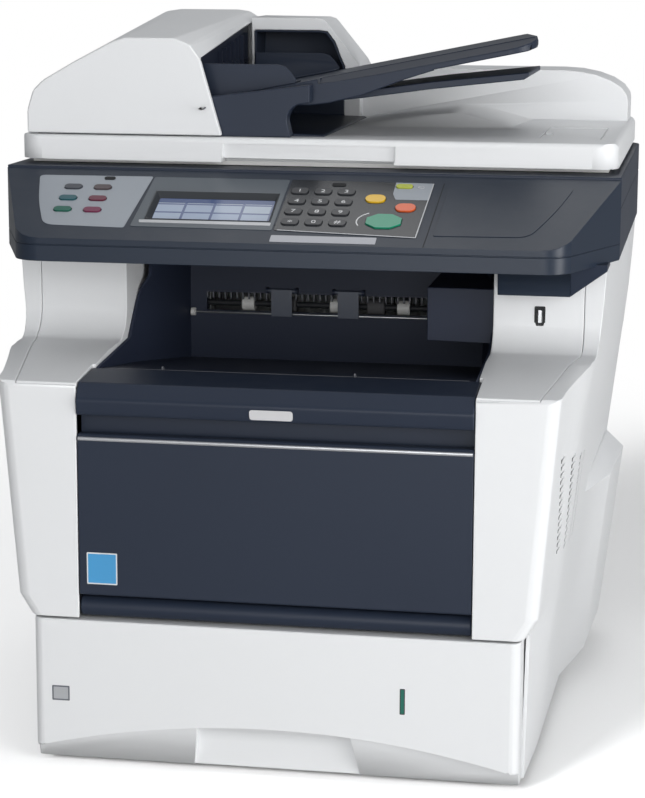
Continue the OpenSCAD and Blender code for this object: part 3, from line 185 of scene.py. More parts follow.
world = bpy.data.worlds.new("studio")
scene.world = world
world.use_nodes = True
sky = world.node_tree
sky_light = feed(sky.nodes["Background"], Color=(0.93, 0.96, 1.0, 1), Strength=0.25)
sky_white = add(sky, "ShaderNodeBackground", Color=(1, 1, 1, 1))
ray = add(sky, "ShaderNodeLightPath").outputs
seen = calc(sky, "MAXIMUM", ray["Is Camera Ray"], ray["Is Transmission Ray"])
sky_mix = add(sky, "ShaderNodeMixShader", i0=seen, i1=sky_light.outputs[0], i2=sky_white.outputs[0])
feed(sky.nodes["World Output"], Surface=sky_mix.outputs[0])

FLOOR_HALF = 12
FADE_FROM, FADE_TO = 0.7, 1.6
floor_mesh = bpy.data.meshes.new("floor")
corners = [(x * FLOOR_HALF, y * FLOOR_HALF, 0) for x, y in ((-1, -1), (1, -1), (1, 1), (-1, 1))]
floor_mesh.from_pydata(corners, [], [(0, 1, 2, 3)])
floor = new_object("floor", floor_mesh)
floor_paint, tree, dull = new_paint("floor_white")
feed(dull, Base_Color=(0.28, 0.28, 0.28, 1), Roughness=0.8)
near_floor = add(tree, "ShaderNodeBsdfDiffuse", Color=(0.82, 0.82, 0.82, 1))
far_floor = add(tree, "ShaderNodeEmission", Strength=1)
place = add(tree, "ShaderNodeNewGeometry").outputs["Position"]
distance = add(tree, "ShaderNodeVectorMath", {"operation": "LENGTH"}, i0=place).outputs["Value"]
fade = add(tree, "ShaderNodeMapRange", {"interpolation_type": "SMOOTHSTEP"}, Value=distance,
           From_Min=FADE_FROM, From_Max=FADE_TO)
seen = add(tree, "ShaderNodeMixShader", i0=fade.outputs["Result"], i1=near_floor.outputs[0],
           i2=far_floor.outputs[0])
ray = add(tree, "ShaderNodeLightPath").outputs
floor_mix = add(tree, "ShaderNodeMixShader", i0=ray["Is Camera Ray"], i1=dull.outputs[0],
                i2=seen.outputs[0])
feed(tree.nodes["Material Output"], Surface=floor_mix.outputs[0])
floor_mesh.materials.append(floor_paint)
floor_only = bpy.data.collections.new("floor_only")
floor_only.objects.link(floor)
distant.light_linking.receiver_collection = floor_only
print("lamps and floor are in place")

# %% [markdown]
# ## Shared effects: moulded grain and handling marks
#
# Nearly every surface of the machine is injection-moulded plastic. The mould leaves a fine
# grain that scatters highlights, the thick and thin places cool differently and leave a very
# faint unevenness, and use leaves dust on what faces up. Each effect is one node group with
# named inputs, so that every material can use it with its own values.

# %% New node group
def new_group(name, inputs, outputs):
    """Empty shader node group with float inputs {name: default} and float outputs."""
    group = bpy.data.node_groups.new(name, "ShaderNodeTree")
    for label, default in inputs.items():
        socket = group.interface.new_socket(label, in_out="INPUT", socket_type="NodeSocketFloat")
        socket.default_value = default
    for label in outputs:
        group.interface.new_socket(label, in_out="OUTPUT", socket_type="NodeSocketFloat")
    return group, group.nodes.new("NodeGroupInput").outputs, group.nodes.new("NodeGroupOutput")


# %% Grain group
grain_group, wanted, grain_out = new_group(
    "moulded_grain", {"Scale": 900.0, "Patch": 9.0, "Rough": 0.4, "Rough Range": 0.08},
    ("Height", "Roughness", "Patches"))
place = add(grain_group, "ShaderNodeTexCoord").outputs["Object"]
pits = add(grain_group, "ShaderNodeTexNoise", {"noise_dimensions": "3D"}, Vector=place,
           Scale=wanted["Scale"], Detail=2.0, Roughness=0.55)
patches = add(grain_group, "ShaderNodeTexNoise", {"noise_dimensions": "3D"}, Vector=place,
              Scale=wanted["Patch"], Detail=3.0, Roughness=0.5)
centred = calc(grain_group, "SUBTRACT", patches.outputs["Fac"], 0.5)
spread = calc(grain_group, "MULTIPLY_ADD", centred, wanted["Rough Range"], wanted["Rough"])
feed(grain_out, Height=pits.outputs["Fac"], Roughness=spread, Patches=patches.outputs["Fac"])

# %% Dust group
dust_group, wanted, dust_out = new_group("settled_dust", {"Amount": 0.1, "Scale": 60.0}, ("Mask",))
normal = add(dust_group, "ShaderNodeNewGeometry").outputs["Normal"]
height = add(dust_group, "ShaderNodeSeparateXYZ", Vector=normal).outputs["Z"]
facing_up = add(dust_group, "ShaderNodeMapRange", {"clamp": True}, Value=height,
                i1=0.55, i2=1.0, i3=0.0, i4=1.0)
place = add(dust_group, "ShaderNodeTexCoord").outputs["Object"]
specks = add(dust_group, "ShaderNodeTexNoise", Vector=place, Scale=wanted["Scale"], Detail=5.0,
             Roughness=0.65)
speck_mask = add(dust_group, "ShaderNodeMapRange", {"clamp": True}, Value=specks.outputs["Fac"],
                 i1=0.42, i2=0.75, i3=0.2, i4=1.0)
both = calc(dust_group, "MULTIPLY", facing_up.outputs["Result"], speck_mask.outputs["Result"])
feed(dust_out, Mask=calc(dust_group, "MULTIPLY", both, wanted["Amount"]))
print("node groups:", [g.name for g in bpy.data.node_groups])


# %% Plastic material
DUST = (0.55, 0.54, 0.52, 1)


def shade(color, factor):
    """Colour times a factor, with alpha."""
    return tuple(min(1.0, c * factor) for c in color) + (1,)


def plastic(name, color, rough=0.4, grain=900.0, depth=0.05, dust=0.0, patch=0.06, coat=0.0,
            shine=0.5):
    """Moulded plastic: a base colour that drifts slightly in patches, fine grain as bump and, where
    asked, settled dust on upward faces."""
    paint, tree, surface = new_paint(name)
    marks = add(tree, "ShaderNodeGroup", {"node_tree": grain_group}, Scale=grain,
                Rough=rough).outputs
    shown = mixed(tree, marks["Patches"], shade(color, 1 - patch), shade(color, 1 + patch))
    if dust:
        film = add(tree, "ShaderNodeGroup", {"node_tree": dust_group}, Amount=dust)
        shown = mixed(tree, film.outputs["Mask"], shown, DUST)
    bump = add(tree, "ShaderNodeBump", Strength=depth, Distance=0.0002, Height=marks["Height"])
    feed(surface, Base_Color=shown, Roughness=marks["Roughness"], Normal=bump.outputs["Normal"],
         Specular_IOR_Level=shine, Coat_Weight=coat, Coat_Roughness=0.2)
    return paint


# %% [markdown]
# ## Finishes
#
# The outer skin has two plastics, a white one with a fine satin grain and a dark blue-grey one
# with a slight sheen. The delivery tray is a little darker and flatter. Inside there is
# zinc-plated steel, black plastic and rubber.

# %% Named finishes
BLUE_GREY, TRAY_GREY = (0.018, 0.026, 0.046), (0.022, 0.029, 0.052)
paints = {
    "white_plastic": plastic("white_cover", (0.80, 0.81, 0.82), 0.42, 1100, 0.05, 0.02, 0.012),
    "dark_plastic": plastic("blue_grey_cover", BLUE_GREY, 0.40, 900, 0.10, 0.02, shine=0.28),
    "tray_plastic": plastic("tray_blue_grey", TRAY_GREY, 0.45, 900, 0.10, 0.02, shine=0.22),
    "black_plastic": plastic("works_black", (0.018, 0.020, 0.024), 0.45, 700, 0.12, 0.05, shine=0.3),
    "foot_rubber": plastic("foot_rubber", (0.03, 0.03, 0.032), 0.8, 500, 0.3),
    "roller_rubber": plastic("roller_rubber", (0.09, 0.09, 0.095), 0.75, 1400, 0.3),
    "pad_white": plastic("pad_white", (0.84, 0.84, 0.82), 0.6, 600, 0.15),
}
SMOOTH = {  # colour, roughness, clear coat
    "guide_blue": ((0.05, 0.16, 0.36), 0.4, 0),
    "roller_white": ((0.70, 0.70, 0.68), 0.4, 0),
    "key_dark": ((0.035, 0.037, 0.042), 0.35, 0),
    "key_slate": ((0.05, 0.055, 0.07), 0.3, 0),
    "key_brown": ((0.07, 0.05, 0.055), 0.3, 0),
    "key_teal": ((0.012, 0.09, 0.11), 0.3, 0),
    "key_red": ((0.13, 0.02, 0.045), 0.3, 0),
    "key_green_dark": ((0.008, 0.11, 0.075), 0.3, 0),
    "key_maroon": ((0.17, 0.025, 0.07), 0.3, 0),
    "key_green": ((0.008, 0.27, 0.15), 0.25, 0.3),
    "key_orange": ((0.72, 0.11, 0.02), 0.25, 0.3),
    "key_yellow": ((0.80, 0.48, 0.01), 0.25, 0.3),
    "key_lime": ((0.45, 0.50, 0.05), 0.25, 0.3),
}
for name, (color, rough, coat) in SMOOTH.items():
    paints[name] = plastic(name, color, rough, coat=coat)


# %% Steel and glass
def plated_steel(name):
    """Zinc-plated sheet: metal with faint spangle in colour and roughness."""
    paint, tree, surface = new_paint(name)
    marks = add(tree, "ShaderNodeGroup", {"node_tree": grain_group}, Scale=240.0, Patch=45.0,
                Rough=0.36, Rough_Range=0.3).outputs
    tone = mixed(tree, marks["Patches"], (0.46, 0.47, 0.48, 1), (0.66, 0.67, 0.69, 1))
    feed(surface, Base_Color=tone, Roughness=marks["Roughness"], Metallic=1)
    return paint


def clear_glass(name):
    """Plain float glass with the slight green of its iron."""
    paint, _, surface = new_paint(name)
    feed(surface, Base_Color=(0.88, 0.97, 0.95, 1), Roughness=0.03, Transmission_Weight=1, IOR=1.5)
    return paint


paints["steel"] = plated_steel("zinc_steel")
paints["platen_glass"] = clear_glass("platen_glass")
print("finishes:", len(paints))


# %% [markdown]
# ## Rounded edges for the moulded covers
#
# No moulding has a knife edge: the mould maker gives every corner a small radius, and that
# radius catches a thin line of light which makes a cover look solid. Each CAD piece is copied,
# its loose triangles are merged, flat neighbours are joined into one face, and a bevel with a
# small width rounds what is still sharp. Where the faces beside an edge leave little room, the
# edge gets less. The copy then stands in for the CAD piece.

# %% Room for a rounding
NO_LIMIT = 1e3
SHARED, ALONE = 0.45, 0.9
SAME_CURVE = math.cos(math.radians(50))


def points_of(mesh):
    """Points of a mesh as an array (point, xyz)."""
    spots = np.empty(3 * len(mesh.vertices))
    mesh.vertices.foreach_get("co", spots)
    return spots.reshape(-1, 3)


def smooth_faces(mesh, angle):
    """Smooth shading, broken at edges sharper than an angle in degrees."""
    mesh.polygons.foreach_set("use_smooth", np.ones(len(mesh.polygons), dtype=bool))
    mesh.set_sharp_from_angle(angle=math.radians(angle))


def facing_room(mesh, spots, sharp):
    """Room of every edge, in millimetres: over the faces that it bounds, the distance to the nearest
    edge that runs the opposite way round the same face, times SHARED where that edge is rounded as
    well, else ALONE. Corners that are rounded in small steps get the bound at which a step's length
    would be used up: length / (tan(turn before / 2) + tan(turn after / 2))."""
    room = np.full(len(mesh.edges), NO_LIMIT)
    for face in mesh.polygons:
        if face.loop_total < 4:
            continue
        loops = slice(face.loop_start, face.loop_start + face.loop_total)
        edge = np.array([loop.edge_index for loop in mesh.loops[loops]])
        start = spots[[loop.vertex_index for loop in mesh.loops[loops]]]
        end = np.roll(start, -1, axis=0)
        length = np.maximum(np.linalg.norm(end - start, axis=1), 1e-9)
        way = (end - start) / length[:, None]
        reach = start[:, None] - start[None]
        along = np.clip((reach * way[None]).sum(axis=2), 0, length[None])
        to_line = np.linalg.norm(reach - along[:, :, None] * way[None], axis=2)
        gap = np.minimum(to_line, np.roll(to_line, -1, axis=0))
        gap = np.minimum(gap, gap.T)
        opposite = way @ way.T < -0.3
        gap = np.where(opposite, gap * np.where(sharp[edge], SHARED, ALONE)[:, None], NO_LIMIT)
        gap[edge[:, None] == edge[None]] = NO_LIMIT
        before = np.roll(way, 1, axis=0)
        into = np.cross(before, way) @ np.array(face.normal)
        turn = np.arctan2(into, (before * way).sum(axis=1))
        used = np.tan(np.clip(turn, -1.5, 1.5) / 2)
        used = used + np.roll(used, -1)
        gentle = np.maximum(np.abs(turn), np.abs(np.roll(turn, -1))) < 0.8
        step = np.where((used > 0.02) & gentle, ALONE * length / np.maximum(used, 0.02), NO_LIMIT)
        np.minimum.at(room, edge, np.minimum(gap.min(axis=0), step))
    return room


def even_along(ends, spots, sharp, width):
    """Widths that don't change along a soft curve: where two rounded edges meet at less than 50
    degrees, both get the smaller width, again and again until nothing changes."""
    sharp = sharp & (width > 0)
    count = np.bincount(ends[sharp].ravel(), minlength=len(spots))
    owner = np.full((len(spots), 2), -1)
    index = np.flatnonzero(sharp)
    for side in (0, 1):
        for e, v in zip(index, ends[index, side]):
            if count[v] == 2:
                owner[v, 0 if owner[v, 0] < 0 else 1] = e
    pair = owner[(owner >= 0).all(axis=1)]
    way = spots[ends[:, 1]] - spots[ends[:, 0]]
    way /= np.maximum(np.linalg.norm(way, axis=1, keepdims=True), 1e-9)
    pair = pair[np.abs((way[pair[:, 0]] * way[pair[:, 1]]).sum(axis=1)) > SAME_CURVE]
    before = None
    while before is None or not np.array_equal(before, width):
        before = width.copy()
        least = np.minimum(width[pair[:, 0]], width[pair[:, 1]])
        np.minimum.at(width, pair[:, 0], least)
        np.minimum.at(width, pair[:, 1], least)
    return width


# %% Softened copies
THINNEST = 0.06


def softened(node, width, share=None, segments=2, shift=None):
    """Copy of a CAD node with merged points, joined flat faces and rounded edges, the width in
    millimetres. 'share' takes the two ends of every edge, in millimetres, and gives the part of the
    width for that edge, from 0 to 1; an edge with less room gets what its room allows. 'shift' moves
    the points first."""
    mesh = nodes[node].data.copy()
    mesh.name = node + "_skin"
    shape = bmesh.new()
    shape.from_mesh(mesh)
    bmesh.ops.remove_doubles(shape, verts=shape.verts, dist=2e-6)
    bmesh.ops.dissolve_limit(shape, angle_limit=math.radians(0.2), verts=shape.verts,
                             edges=shape.edges)
    shape.to_mesh(mesh)
    shape.free()
    spots = points_of(mesh) * 1000
    if shift:
        spots = shift(spots)
        mesh.vertices.foreach_set("co", spots.ravel() / 1000)
    piece = new_object(node + "_skin", mesh)
    mesh.materials.clear()
    mesh.materials.append(paints[node_slot[node]])
    mesh.polygons.foreach_set("material_index", np.zeros(len(mesh.polygons), dtype=np.int32))
    smooth_faces(mesh, 28)
    sharp = np.empty(len(mesh.edges), dtype=bool)
    mesh.attributes["sharp_edge"].data.foreach_get("value", sharp)
    ends = np.empty(2 * len(mesh.edges), dtype=np.int32)
    mesh.edges.foreach_get("vertices", ends)
    ends = ends.reshape(-1, 2)
    asked = width * (share(spots[ends[:, 0]], spots[ends[:, 1]]) if share else np.ones(len(ends)))
    given = even_along(ends, spots, sharp, np.minimum(asked, facing_room(mesh, spots, sharp)))
    weight = np.where(sharp & (given > THINNEST), given / width, 0).astype(np.float32)
    mesh.attributes.new("bevel_weight_edge", "FLOAT", "EDGE").data.foreach_set("value", weight)
    bevel = piece.modifiers.new("edge", "BEVEL")
    bevel.width = width / 1000
    bevel.segments = segments
    bevel.limit_method = "WEIGHT"
    bevel.use_clamp_overlap = False
    bevel.miter_outer = "MITER_ARC"
    piece.modifiers.new("flat_faces", "WEIGHTED_NORMAL").keep_sharp = True
    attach(piece, node_body[node])
    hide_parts(node)
    return piece


EDGE = {
    "left_side_cover": 0.8, "column_covers": 0.6, "front_cover": 1.0, "bypass_tray": 0.8,
    "drawer_front": 1.0, "feeder_cover": 1.2, "document_table": 0.8, "feeder_throat": 0.8,
    "scanner_body": 0.8, "output_tray": 0.6, "document_guide_front": 0.5,
    "document_guide_rear": 0.5, "eject_stopper": 0.3, "rear_cover": 0.6,
}


def where_both(test, a, b, value, other=1.0):
    """A value for edges whose two ends pass a test, and another one for the rest."""
    return np.where(test(a) & test(b), value, other)


def tray_share(a, b):
    """0 on the tray's back wall, where the slot leaves little room, and 1 in front of it."""
    return where_both(lambda p: p[:, 1] > 20, a, b, 0.0)


def drawer_share(a, b):
    """A fifth at the back of the drawer's front, where it meets the side covers, and 1 elsewhere."""
    return where_both(lambda p: p[:, 1] > -214, a, b, 0.2)


SHARE = {"output_tray": tray_share, "drawer_front": drawer_share}
for node, width in EDGE.items():
    softened(node, width, SHARE.get(node))
print("softened:", len(EDGE))

# %% Lid: its corners stay sharp, because a sleeve covers them later
lid_low, lid_high = (v * 1000 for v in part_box("lid_base"))
LID_R, LID_H, LID_BACK = 20, 20, 237


def lid_share(a, b):
    """0 where both ends lie in a corner of the outline, and 1 elsewhere."""
    middle_y = (lid_low.y + LID_BACK) / 2
    side, end = lid_high.x - LID_R + 4, LID_BACK - middle_y - LID_R + 4
    return where_both(lambda p: (np.abs(p[:, 0]) > side) & (np.abs(p[:, 1] - middle_y) > end)
                      & (p[:, 2] < lid_low.z + LID_H + 0.5), a, b, 0.0)


softened("lid_base", 0.6, lid_share)


# %% Right cover: the edges of the vents stay as they are
def side_share(a, b):
    """0 for an edge with an end in the field of the vents, a third beside the drawer, else 1."""
    field = [(p[:, 1] > -215) & (p[:, 1] < 60) & (p[:, 2] > 150) & (p[:, 2] < 290) for p in (a, b)]
    beside = where_both(lambda p: (p[:, 1] < -211) & (p[:, 2] < 122), a, b, 0.3)
    return np.where(field[0] | field[1], 0.0, beside)


softened("right_side_cover", 0.6, side_share)
print("covers with edges of their own:", "lid_base", "right_side_cover")

# %% [markdown]
# ## Thin plates and printed strips
#
# The control panel is dressed with thin plates: a silver one under the function keys, a dark
# film round the number keys, a frame round the screen. Each is a flat outline with holes where
# the keys come through. A plate could be cut with booleans, but an outline that is worked out
# as a loop of points and filled with triangles gives clean rims, and a small bevel rounds them.

# %% Outlines
def round_corners(points, reach, steps=6):
    """Outline with each corner P replaced by a curve between the points at a distance 'reach' from P
    on its two edges: start*(1-t)^2 + P*2t(1-t) + end*t^2, for t from 0 to 1."""
    corner = np.asarray(points, float)
    before = np.roll(corner, 1, axis=0) - corner
    after = np.roll(corner, -1, axis=0) - corner
    reach = np.broadcast_to(np.asarray(reach, float), (len(corner),))[:, None]
    start = corner + reach * before / np.linalg.norm(before, axis=1, keepdims=True)
    end = corner + reach * after / np.linalg.norm(after, axis=1, keepdims=True)
    t = np.linspace(0, 1, steps + 1)[None, :, None]
    curve = start[:, None] * (1 - t) ** 2 + 2 * corner[:, None] * t * (1 - t) + end[:, None] * t ** 2
    return curve.reshape(-1, 2)


def rectangle(x0, x1, y0, y1, reach=0.0, steps=6):
    """Outline of a rectangle, its corners rounded unless 'reach' is 0."""
    points = np.array([(x0, y0), (x1, y0), (x1, y1), (x0, y1)], float)
    return round_corners(points, reach, steps) if reach else points


def key_loop(middle, width, height, radius, count=24):
    """Rounded rectangle: at each angle, the corner's centre plus radius times the unit vector."""
    a = (np.arange(count) + 0.5) * 2 * np.pi / count
    x = np.sign(np.cos(a)) * (width / 2 - radius) + radius * np.cos(a)
    y = np.sign(np.sin(a)) * (height / 2 - radius) + radius * np.sin(a)
    return np.column_stack([middle[0] + x, middle[1] + y])


def inside(points, loop):
    """True where a point lies inside a closed loop: a ray to the right crosses it an odd number of
    times."""
    x, y = points[:, 0, None], points[:, 1, None]
    ax, ay = loop[None, :, 0], loop[None, :, 1]
    bx, by = np.roll(ax, -1, axis=1), np.roll(ay, -1, axis=1)
    with np.errstate(divide="ignore", invalid="ignore"):
        hit = ((ay > y) != (by > y)) & (x < (bx - ax) * (y - ay) / (by - ay) + ax)
    return hit.sum(axis=1) % 2 == 1


# %% Plate from an outline with holes
def cut_plate(outline, holes, low, high):
    """Closed solid over a flat outline with holes, between two heights: the flat faces are a
    triangulation that keeps every edge of the loops, and each loop is carried from the low to the
    high face."""
    loops = [np.asarray(outline, float)] + [np.asarray(h, float) for h in holes]
    flat = np.concatenate(loops)
    first = np.cumsum([0] + [len(loop) for loop in loops])
    edges = [(first[k] + i, first[k] + (i + 1) % len(loop))
             for k, loop in enumerate(loops) for i in range(len(loop))]
    spots, _, faces = delaunay_2d_cdt([Vector(p) for p in flat], edges, [], 0, 1e-7)[:3]
    spots = np.array([tuple(p) for p in spots])
    faces = np.array(faces)
    middle = spots[faces].mean(axis=1)
    keep = inside(middle, loops[0])
    for loop in loops[1:]:
        keep &= ~inside(middle, loop)
    faces = faces[keep]
    a, b, c = (spots[faces[:, k]] for k in range(3))
    turn = (b[:, 0] - a[:, 0]) * (c[:, 1] - a[:, 1]) - (b[:, 1] - a[:, 1]) * (c[:, 0] - a[:, 0])
    faces = np.where(turn[:, None] < 0, faces[:, ::-1], faces)
    count = len(spots)
    rims = []
    for loop in loops:
        near = np.abs(spots[None, :, :] - loop[:, None, :]).sum(axis=2).argmin(axis=1)
        rims += [(i, j, count + j, count + i) for i, j in zip(near, np.roll(near, -1))]
    points = np.concatenate([np.column_stack([spots, np.full(count, low)]),
                             np.column_stack([spots, np.full(count, high)])])
    return points, [tuple(f) for f in faces[:, ::-1]] + [tuple(f + count) for f in faces] + rims


# %% Surface from rings, and a new piece from points and faces
def ring_solid(rings, closed=False):
    """Closed solid through a stack of rings, an array (ring, point, xyz): neighbours are joined by
    four-sided faces. The first and the last ring get a flat face each or, where 'closed' is set,
    are joined as well, like the skin of a picture frame."""
    rings = np.asarray(rings, float)
    count, size, _ = rings.shape
    k, i = np.meshgrid(np.arange(count if closed else count - 1), np.arange(size), indexing="ij")
    j, n = (i + 1) % size, (k + 1) % count
    faces = np.stack([k * size + i, k * size + j, n * size + j, n * size + i], axis=-1)
    faces = faces.reshape(-1, 4)
    ends = [tuple(range(size))[::-1], tuple(range((count - 1) * size, count * size))]
    return rings.reshape(-1, 3), [tuple(f) for f in faces] + ([] if closed else ends)


def strip_along(path, profile):
    """Profile (sideways, out) carried along a flat path (across, up): at each point the sideways
    direction is the average of the two neighbouring edge normals, lengthened by 1/cos of half the
    turn so that widths hold."""
    path, profile = np.asarray(path, float), np.asarray(profile, float)
    edge = np.diff(path, axis=0)
    normal = np.column_stack([-edge[:, 1], edge[:, 0]])
    normal = normal / np.linalg.norm(edge, axis=1, keepdims=True)
    first, second = np.vstack([normal[:1], normal]), np.vstack([normal, normal[-1:]])
    miter = (first + second) / (1 + (first * second).sum(axis=1, keepdims=True))
    flat = path[:, None, :] + profile[None, :, 0, None] * miter[:, None, :]
    out = np.broadcast_to(profile[None, :, 1, None], flat.shape[:2] + (1,))
    return ring_solid(np.concatenate([flat, out], axis=2))


def new_piece(name, shape, body, slot, paint=None, bevel=0.0, smooth=30):
    """Mesh object in metres from points in millimetres, with merged points, outward faces and
    rounded edges. Its paint is the slot's own unless another one is given."""
    points, faces = shape
    mesh = bpy.data.meshes.new(name)
    mesh.from_pydata((np.asarray(points) / 1000).tolist(), [], [list(map(int, f)) for f in faces])
    work = bmesh.new()
    work.from_mesh(mesh)
    bmesh.ops.remove_doubles(work, verts=work.verts, dist=1e-6)
    bmesh.ops.recalc_face_normals(work, faces=work.faces)
    work.to_mesh(mesh)
    work.free()
    mesh.materials.append(paint or paints[slot])
    smooth_faces(mesh, smooth)
    piece = new_object(name, mesh)
    if bevel:
        edge = piece.modifiers.new("edge", "BEVEL")
        edge.width, edge.segments = bevel / 1000, 2
        edge.limit_method, edge.angle_limit = "ANGLE", math.radians(smooth)
        piece.modifiers.new("flat_faces", "WEIGHTED_NORMAL").keep_sharp = True
    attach(piece, body)
    return piece


# %% [markdown]
# ## The sloping deck
#
# The deck of the control panel starts at the top of its front face and rises to the scanner.
# Everything on it is written in its own measures: millimetres across, up the slope, and out of
# it. The slope and the starting line come from the boxes of the CAD pieces.

# %% Deck measures
panel_low, panel_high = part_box("control_panel")
scanner_low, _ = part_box("scanner_body")
PANEL_FACE = 18
DECK_Y = panel_low.y * 1000
DECK_Z = scanner_low.z * 1000 + PANEL_FACE
DECK_ANGLE = math.atan2(panel_high.z * 1000 - DECK_Z, panel_high.y * 1000 - DECK_Y)
COS, SIN = math.cos(DECK_ANGLE), math.sin(DECK_ANGLE)


def on_deck(shape):
    """Points (across, up the slope, out of it) turned into the machine's frame, in millimetres."""
    points, faces = shape
    x, up, out = np.asarray(points, float).T
    return np.column_stack([x, DECK_Y + up * COS - out * SIN, DECK_Z + up * SIN + out * COS]), faces


def off_deck(y, z):
    """The way back: distance up the slope and out of it."""
    y, z = y - DECK_Y, z - DECK_Z
    return y * COS + z * SIN, z * COS - y * SIN


def key_spot(node):
    """Middle of a key in deck measures, from the middle of its box."""
    low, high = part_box(node)
    middle = (low + high) * 500
    return (low.x + high.x) * 500, off_deck(middle.y, middle.z)[0]


NUMBER_KEYS = {f"key_{n}": n for n in "123456789"}
NUMBER_KEYS |= {"key_star": "*", "key_0": "0", "key_hash": "#"}
FUNCTION_KEYS = ("key_job", "key_box", "key_menu", "key_copy", "key_send", "key_fax")
print("deck angle:", round(math.degrees(DECK_ANGLE), 1), "degrees")


# %% Control panel: a full rounding along its front
SEAM_RIMS, SEAM_DOWN = (0.8, 1.6), 4.0
COLUMN_X, CORNER_UP = 214, 90


def panel_shift(spots):
    """The two rims of the seam, 0.8 and 1.6 mm below the deck's front edge, go further down."""
    seam = np.any([np.abs(DECK_Z - spots[:, 2] - rim) < 0.03 for rim in SEAM_RIMS], axis=0)
    return spots - np.outer(seam, (0, 0, SEAM_DOWN))


def panel_share(a, b):
    """The edge between deck and face: both ends lie in the deck's plane, and near the front or at an
    outer end. Other edges have an eighth of the width."""
    up, out = off_deck(*(np.stack([a[:, k], b[:, k]]) for k in (1, 2)))
    at_side = np.minimum(np.abs(a[:, 0]), np.abs(b[:, 0])) > COLUMN_X
    outer = (up.max(axis=0) < 1) | (at_side & (up.min(axis=0) < CORNER_UP))
    return np.where((np.abs(out) < 0.2).all(axis=0) & outer, 1.0, 0.13)


panel = softened("control_panel", 3.0, panel_share, segments=4, shift=panel_shift)
panel_paint = plastic("panel_blue_grey", (0.013, 0.022, 0.040), 0.36, 900, 0.08, 0.02, shine=0.38)
panel.data.materials[0] = panel_paint

# %% [markdown]
# ## Key plates
#
# The function keys sit in a silver plate, the number keys in a dark glossy film with a light
# corner round the power key. The holes follow each key's outline with 0.6 mm to spare, so that
# a key that is pressed moves past the plate without touching it.

# %% Plate finishes
def satin_metal(name, color, rough, metallic):
    """Painted or printed metal look: base colour with faint patches and a very fine grain."""
    paint = plastic(name, color, rough, 1500, 0.04, 0, 0.03)
    paint.node_tree.nodes["Principled BSDF"].inputs["Metallic"].default_value = metallic
    return paint


silver_paint = satin_metal("silver_plate", (0.34, 0.37, 0.41), 0.36, 0.25)
rim_paint = satin_metal("silver_rim", (0.50, 0.51, 0.53), 0.32, 0.35)
frame_paint = plastic("screen_frame", (0.085, 0.103, 0.122), 0.3, 1200, 0.04)
film_paint = plastic("key_film", (0.010, 0.013, 0.018), 0.25, 1500, 0.02, coat=0.15)
strip_paint = plastic("label_strip", (0.44, 0.45, 0.49), 0.35, 1500, 0.04, 0, 0.1)
print_white = plastic("print_white", (0.72, 0.73, 0.74), 0.45, 1500, 0.02)
# near black inside the screen's well: painted shade for the shadow that falls into the recess
well_painted_shade = plastic("screen_well", (0.016, 0.020, 0.026), 0.35, 1200, 0.04)
# near-black matte: the lenses' and the socket frame's own black, and on the deck's seam painted shade
# for the gap
black_and_gap_shade = plastic("black_and_gap_shade_matte", (0.008, 0.009, 0.011), 0.7, 900, 0.02)

# %% Plates on the deck
SPARE = 0.6
PLATE = 0.35


def hole(node, width, height, radius):
    """Hole round a key of the given size, with room to spare."""
    return key_loop(key_spot(node), width + 2 * SPARE, height + 2 * SPARE, radius + SPARE)


def deck_piece(name, shape, paint, slot="key_slate", bevel=0.0):
    """Shape in deck measures, as a piece of the panel."""
    new_piece(name, on_deck(shape), "base", slot, paint, bevel)


def deck_plate(name, outline, paint, holes=(), low=0.0, high=PLATE, bevel=0.0, slot="key_slate"):
    """Flat plate on the deck, between two heights above it."""
    deck_piece(name, cut_plate(outline, holes, low, high), paint, slot, bevel)


pill_holes = [hole(n, 14, 6.6, 3.2) for n in FUNCTION_KEYS]
number_holes = [hole(n, 13, 8.4, 3) for n in NUMBER_KEYS]
round_holes = [hole(n, 15.6, 11, 5.4) for n in ("key_stop", "key_reset")]
power_hole = hole("key_power", 13, 5.6, 2.7)
eight = np.radians(np.arange(22.5, 360, 45))
start_x, start_up = key_spot("key_start")
start_hole = np.column_stack([start_x + (14.6 + SPARE) * np.cos(eight),
                              start_up + (10.8 + SPARE) * np.sin(eight)])

plate_outline = round_corners([(-216.5, 96), (-207, 56), (-194, 20), (-129, 18), (-123, 97)],
                              (5, 16, 9, 2, 2))
deck_plate("function_plate", plate_outline, silver_paint, pill_holes, bevel=0.12)
film_outline = round_corners([(-11.5, 19.5), (99, 13), (103, 95.5), (-10, 97)], 1.5)
deck_plate("key_film", film_outline, film_paint,
           number_holes + round_holes + [start_hole, power_hole], bevel=0.12, slot="key_dark")
light_corner = [(72.5, 78), (75.5, 69.5), (101.5, 69.5), (102.7, 95.2), (72.5, 95.5)]
deck_plate("power_plate", round_corners(light_corner, 0.8), silver_paint, [power_hole],
           PLATE - 0.05, PLATE + 0.15)
print("plates on the deck:", 3)

# %% [markdown]
# ## Screen
#
# The screen lies in a well with sloping sides. Its frame is a ring whose outline goes from the
# deck down to the glass, so it is built as four rings of the same eight-cornered loop. The well is
# near black, which paints the shade that falls into it, and a silver rim along its lower edge
# also paints the highlight that the well's lower bevel catches. The picture on the screen is a
# plain grid of pale tiles below a blue band.

# %% Screen frame
screen_low, screen_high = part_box("touch_screen")
SCREEN_X = (screen_low.x + screen_high.x) * 500
SCREEN_UP = key_spot("touch_screen")[1]


def well_ring(low_x, high_x, low_up, high_up, out):
    """One loop of the screen's frame: a rectangle with rounded corners at a height."""
    loop = rectangle(low_x, high_x, low_up, high_up, 1.5, 4)
    return np.column_stack([loop, np.full(len(loop), out)])


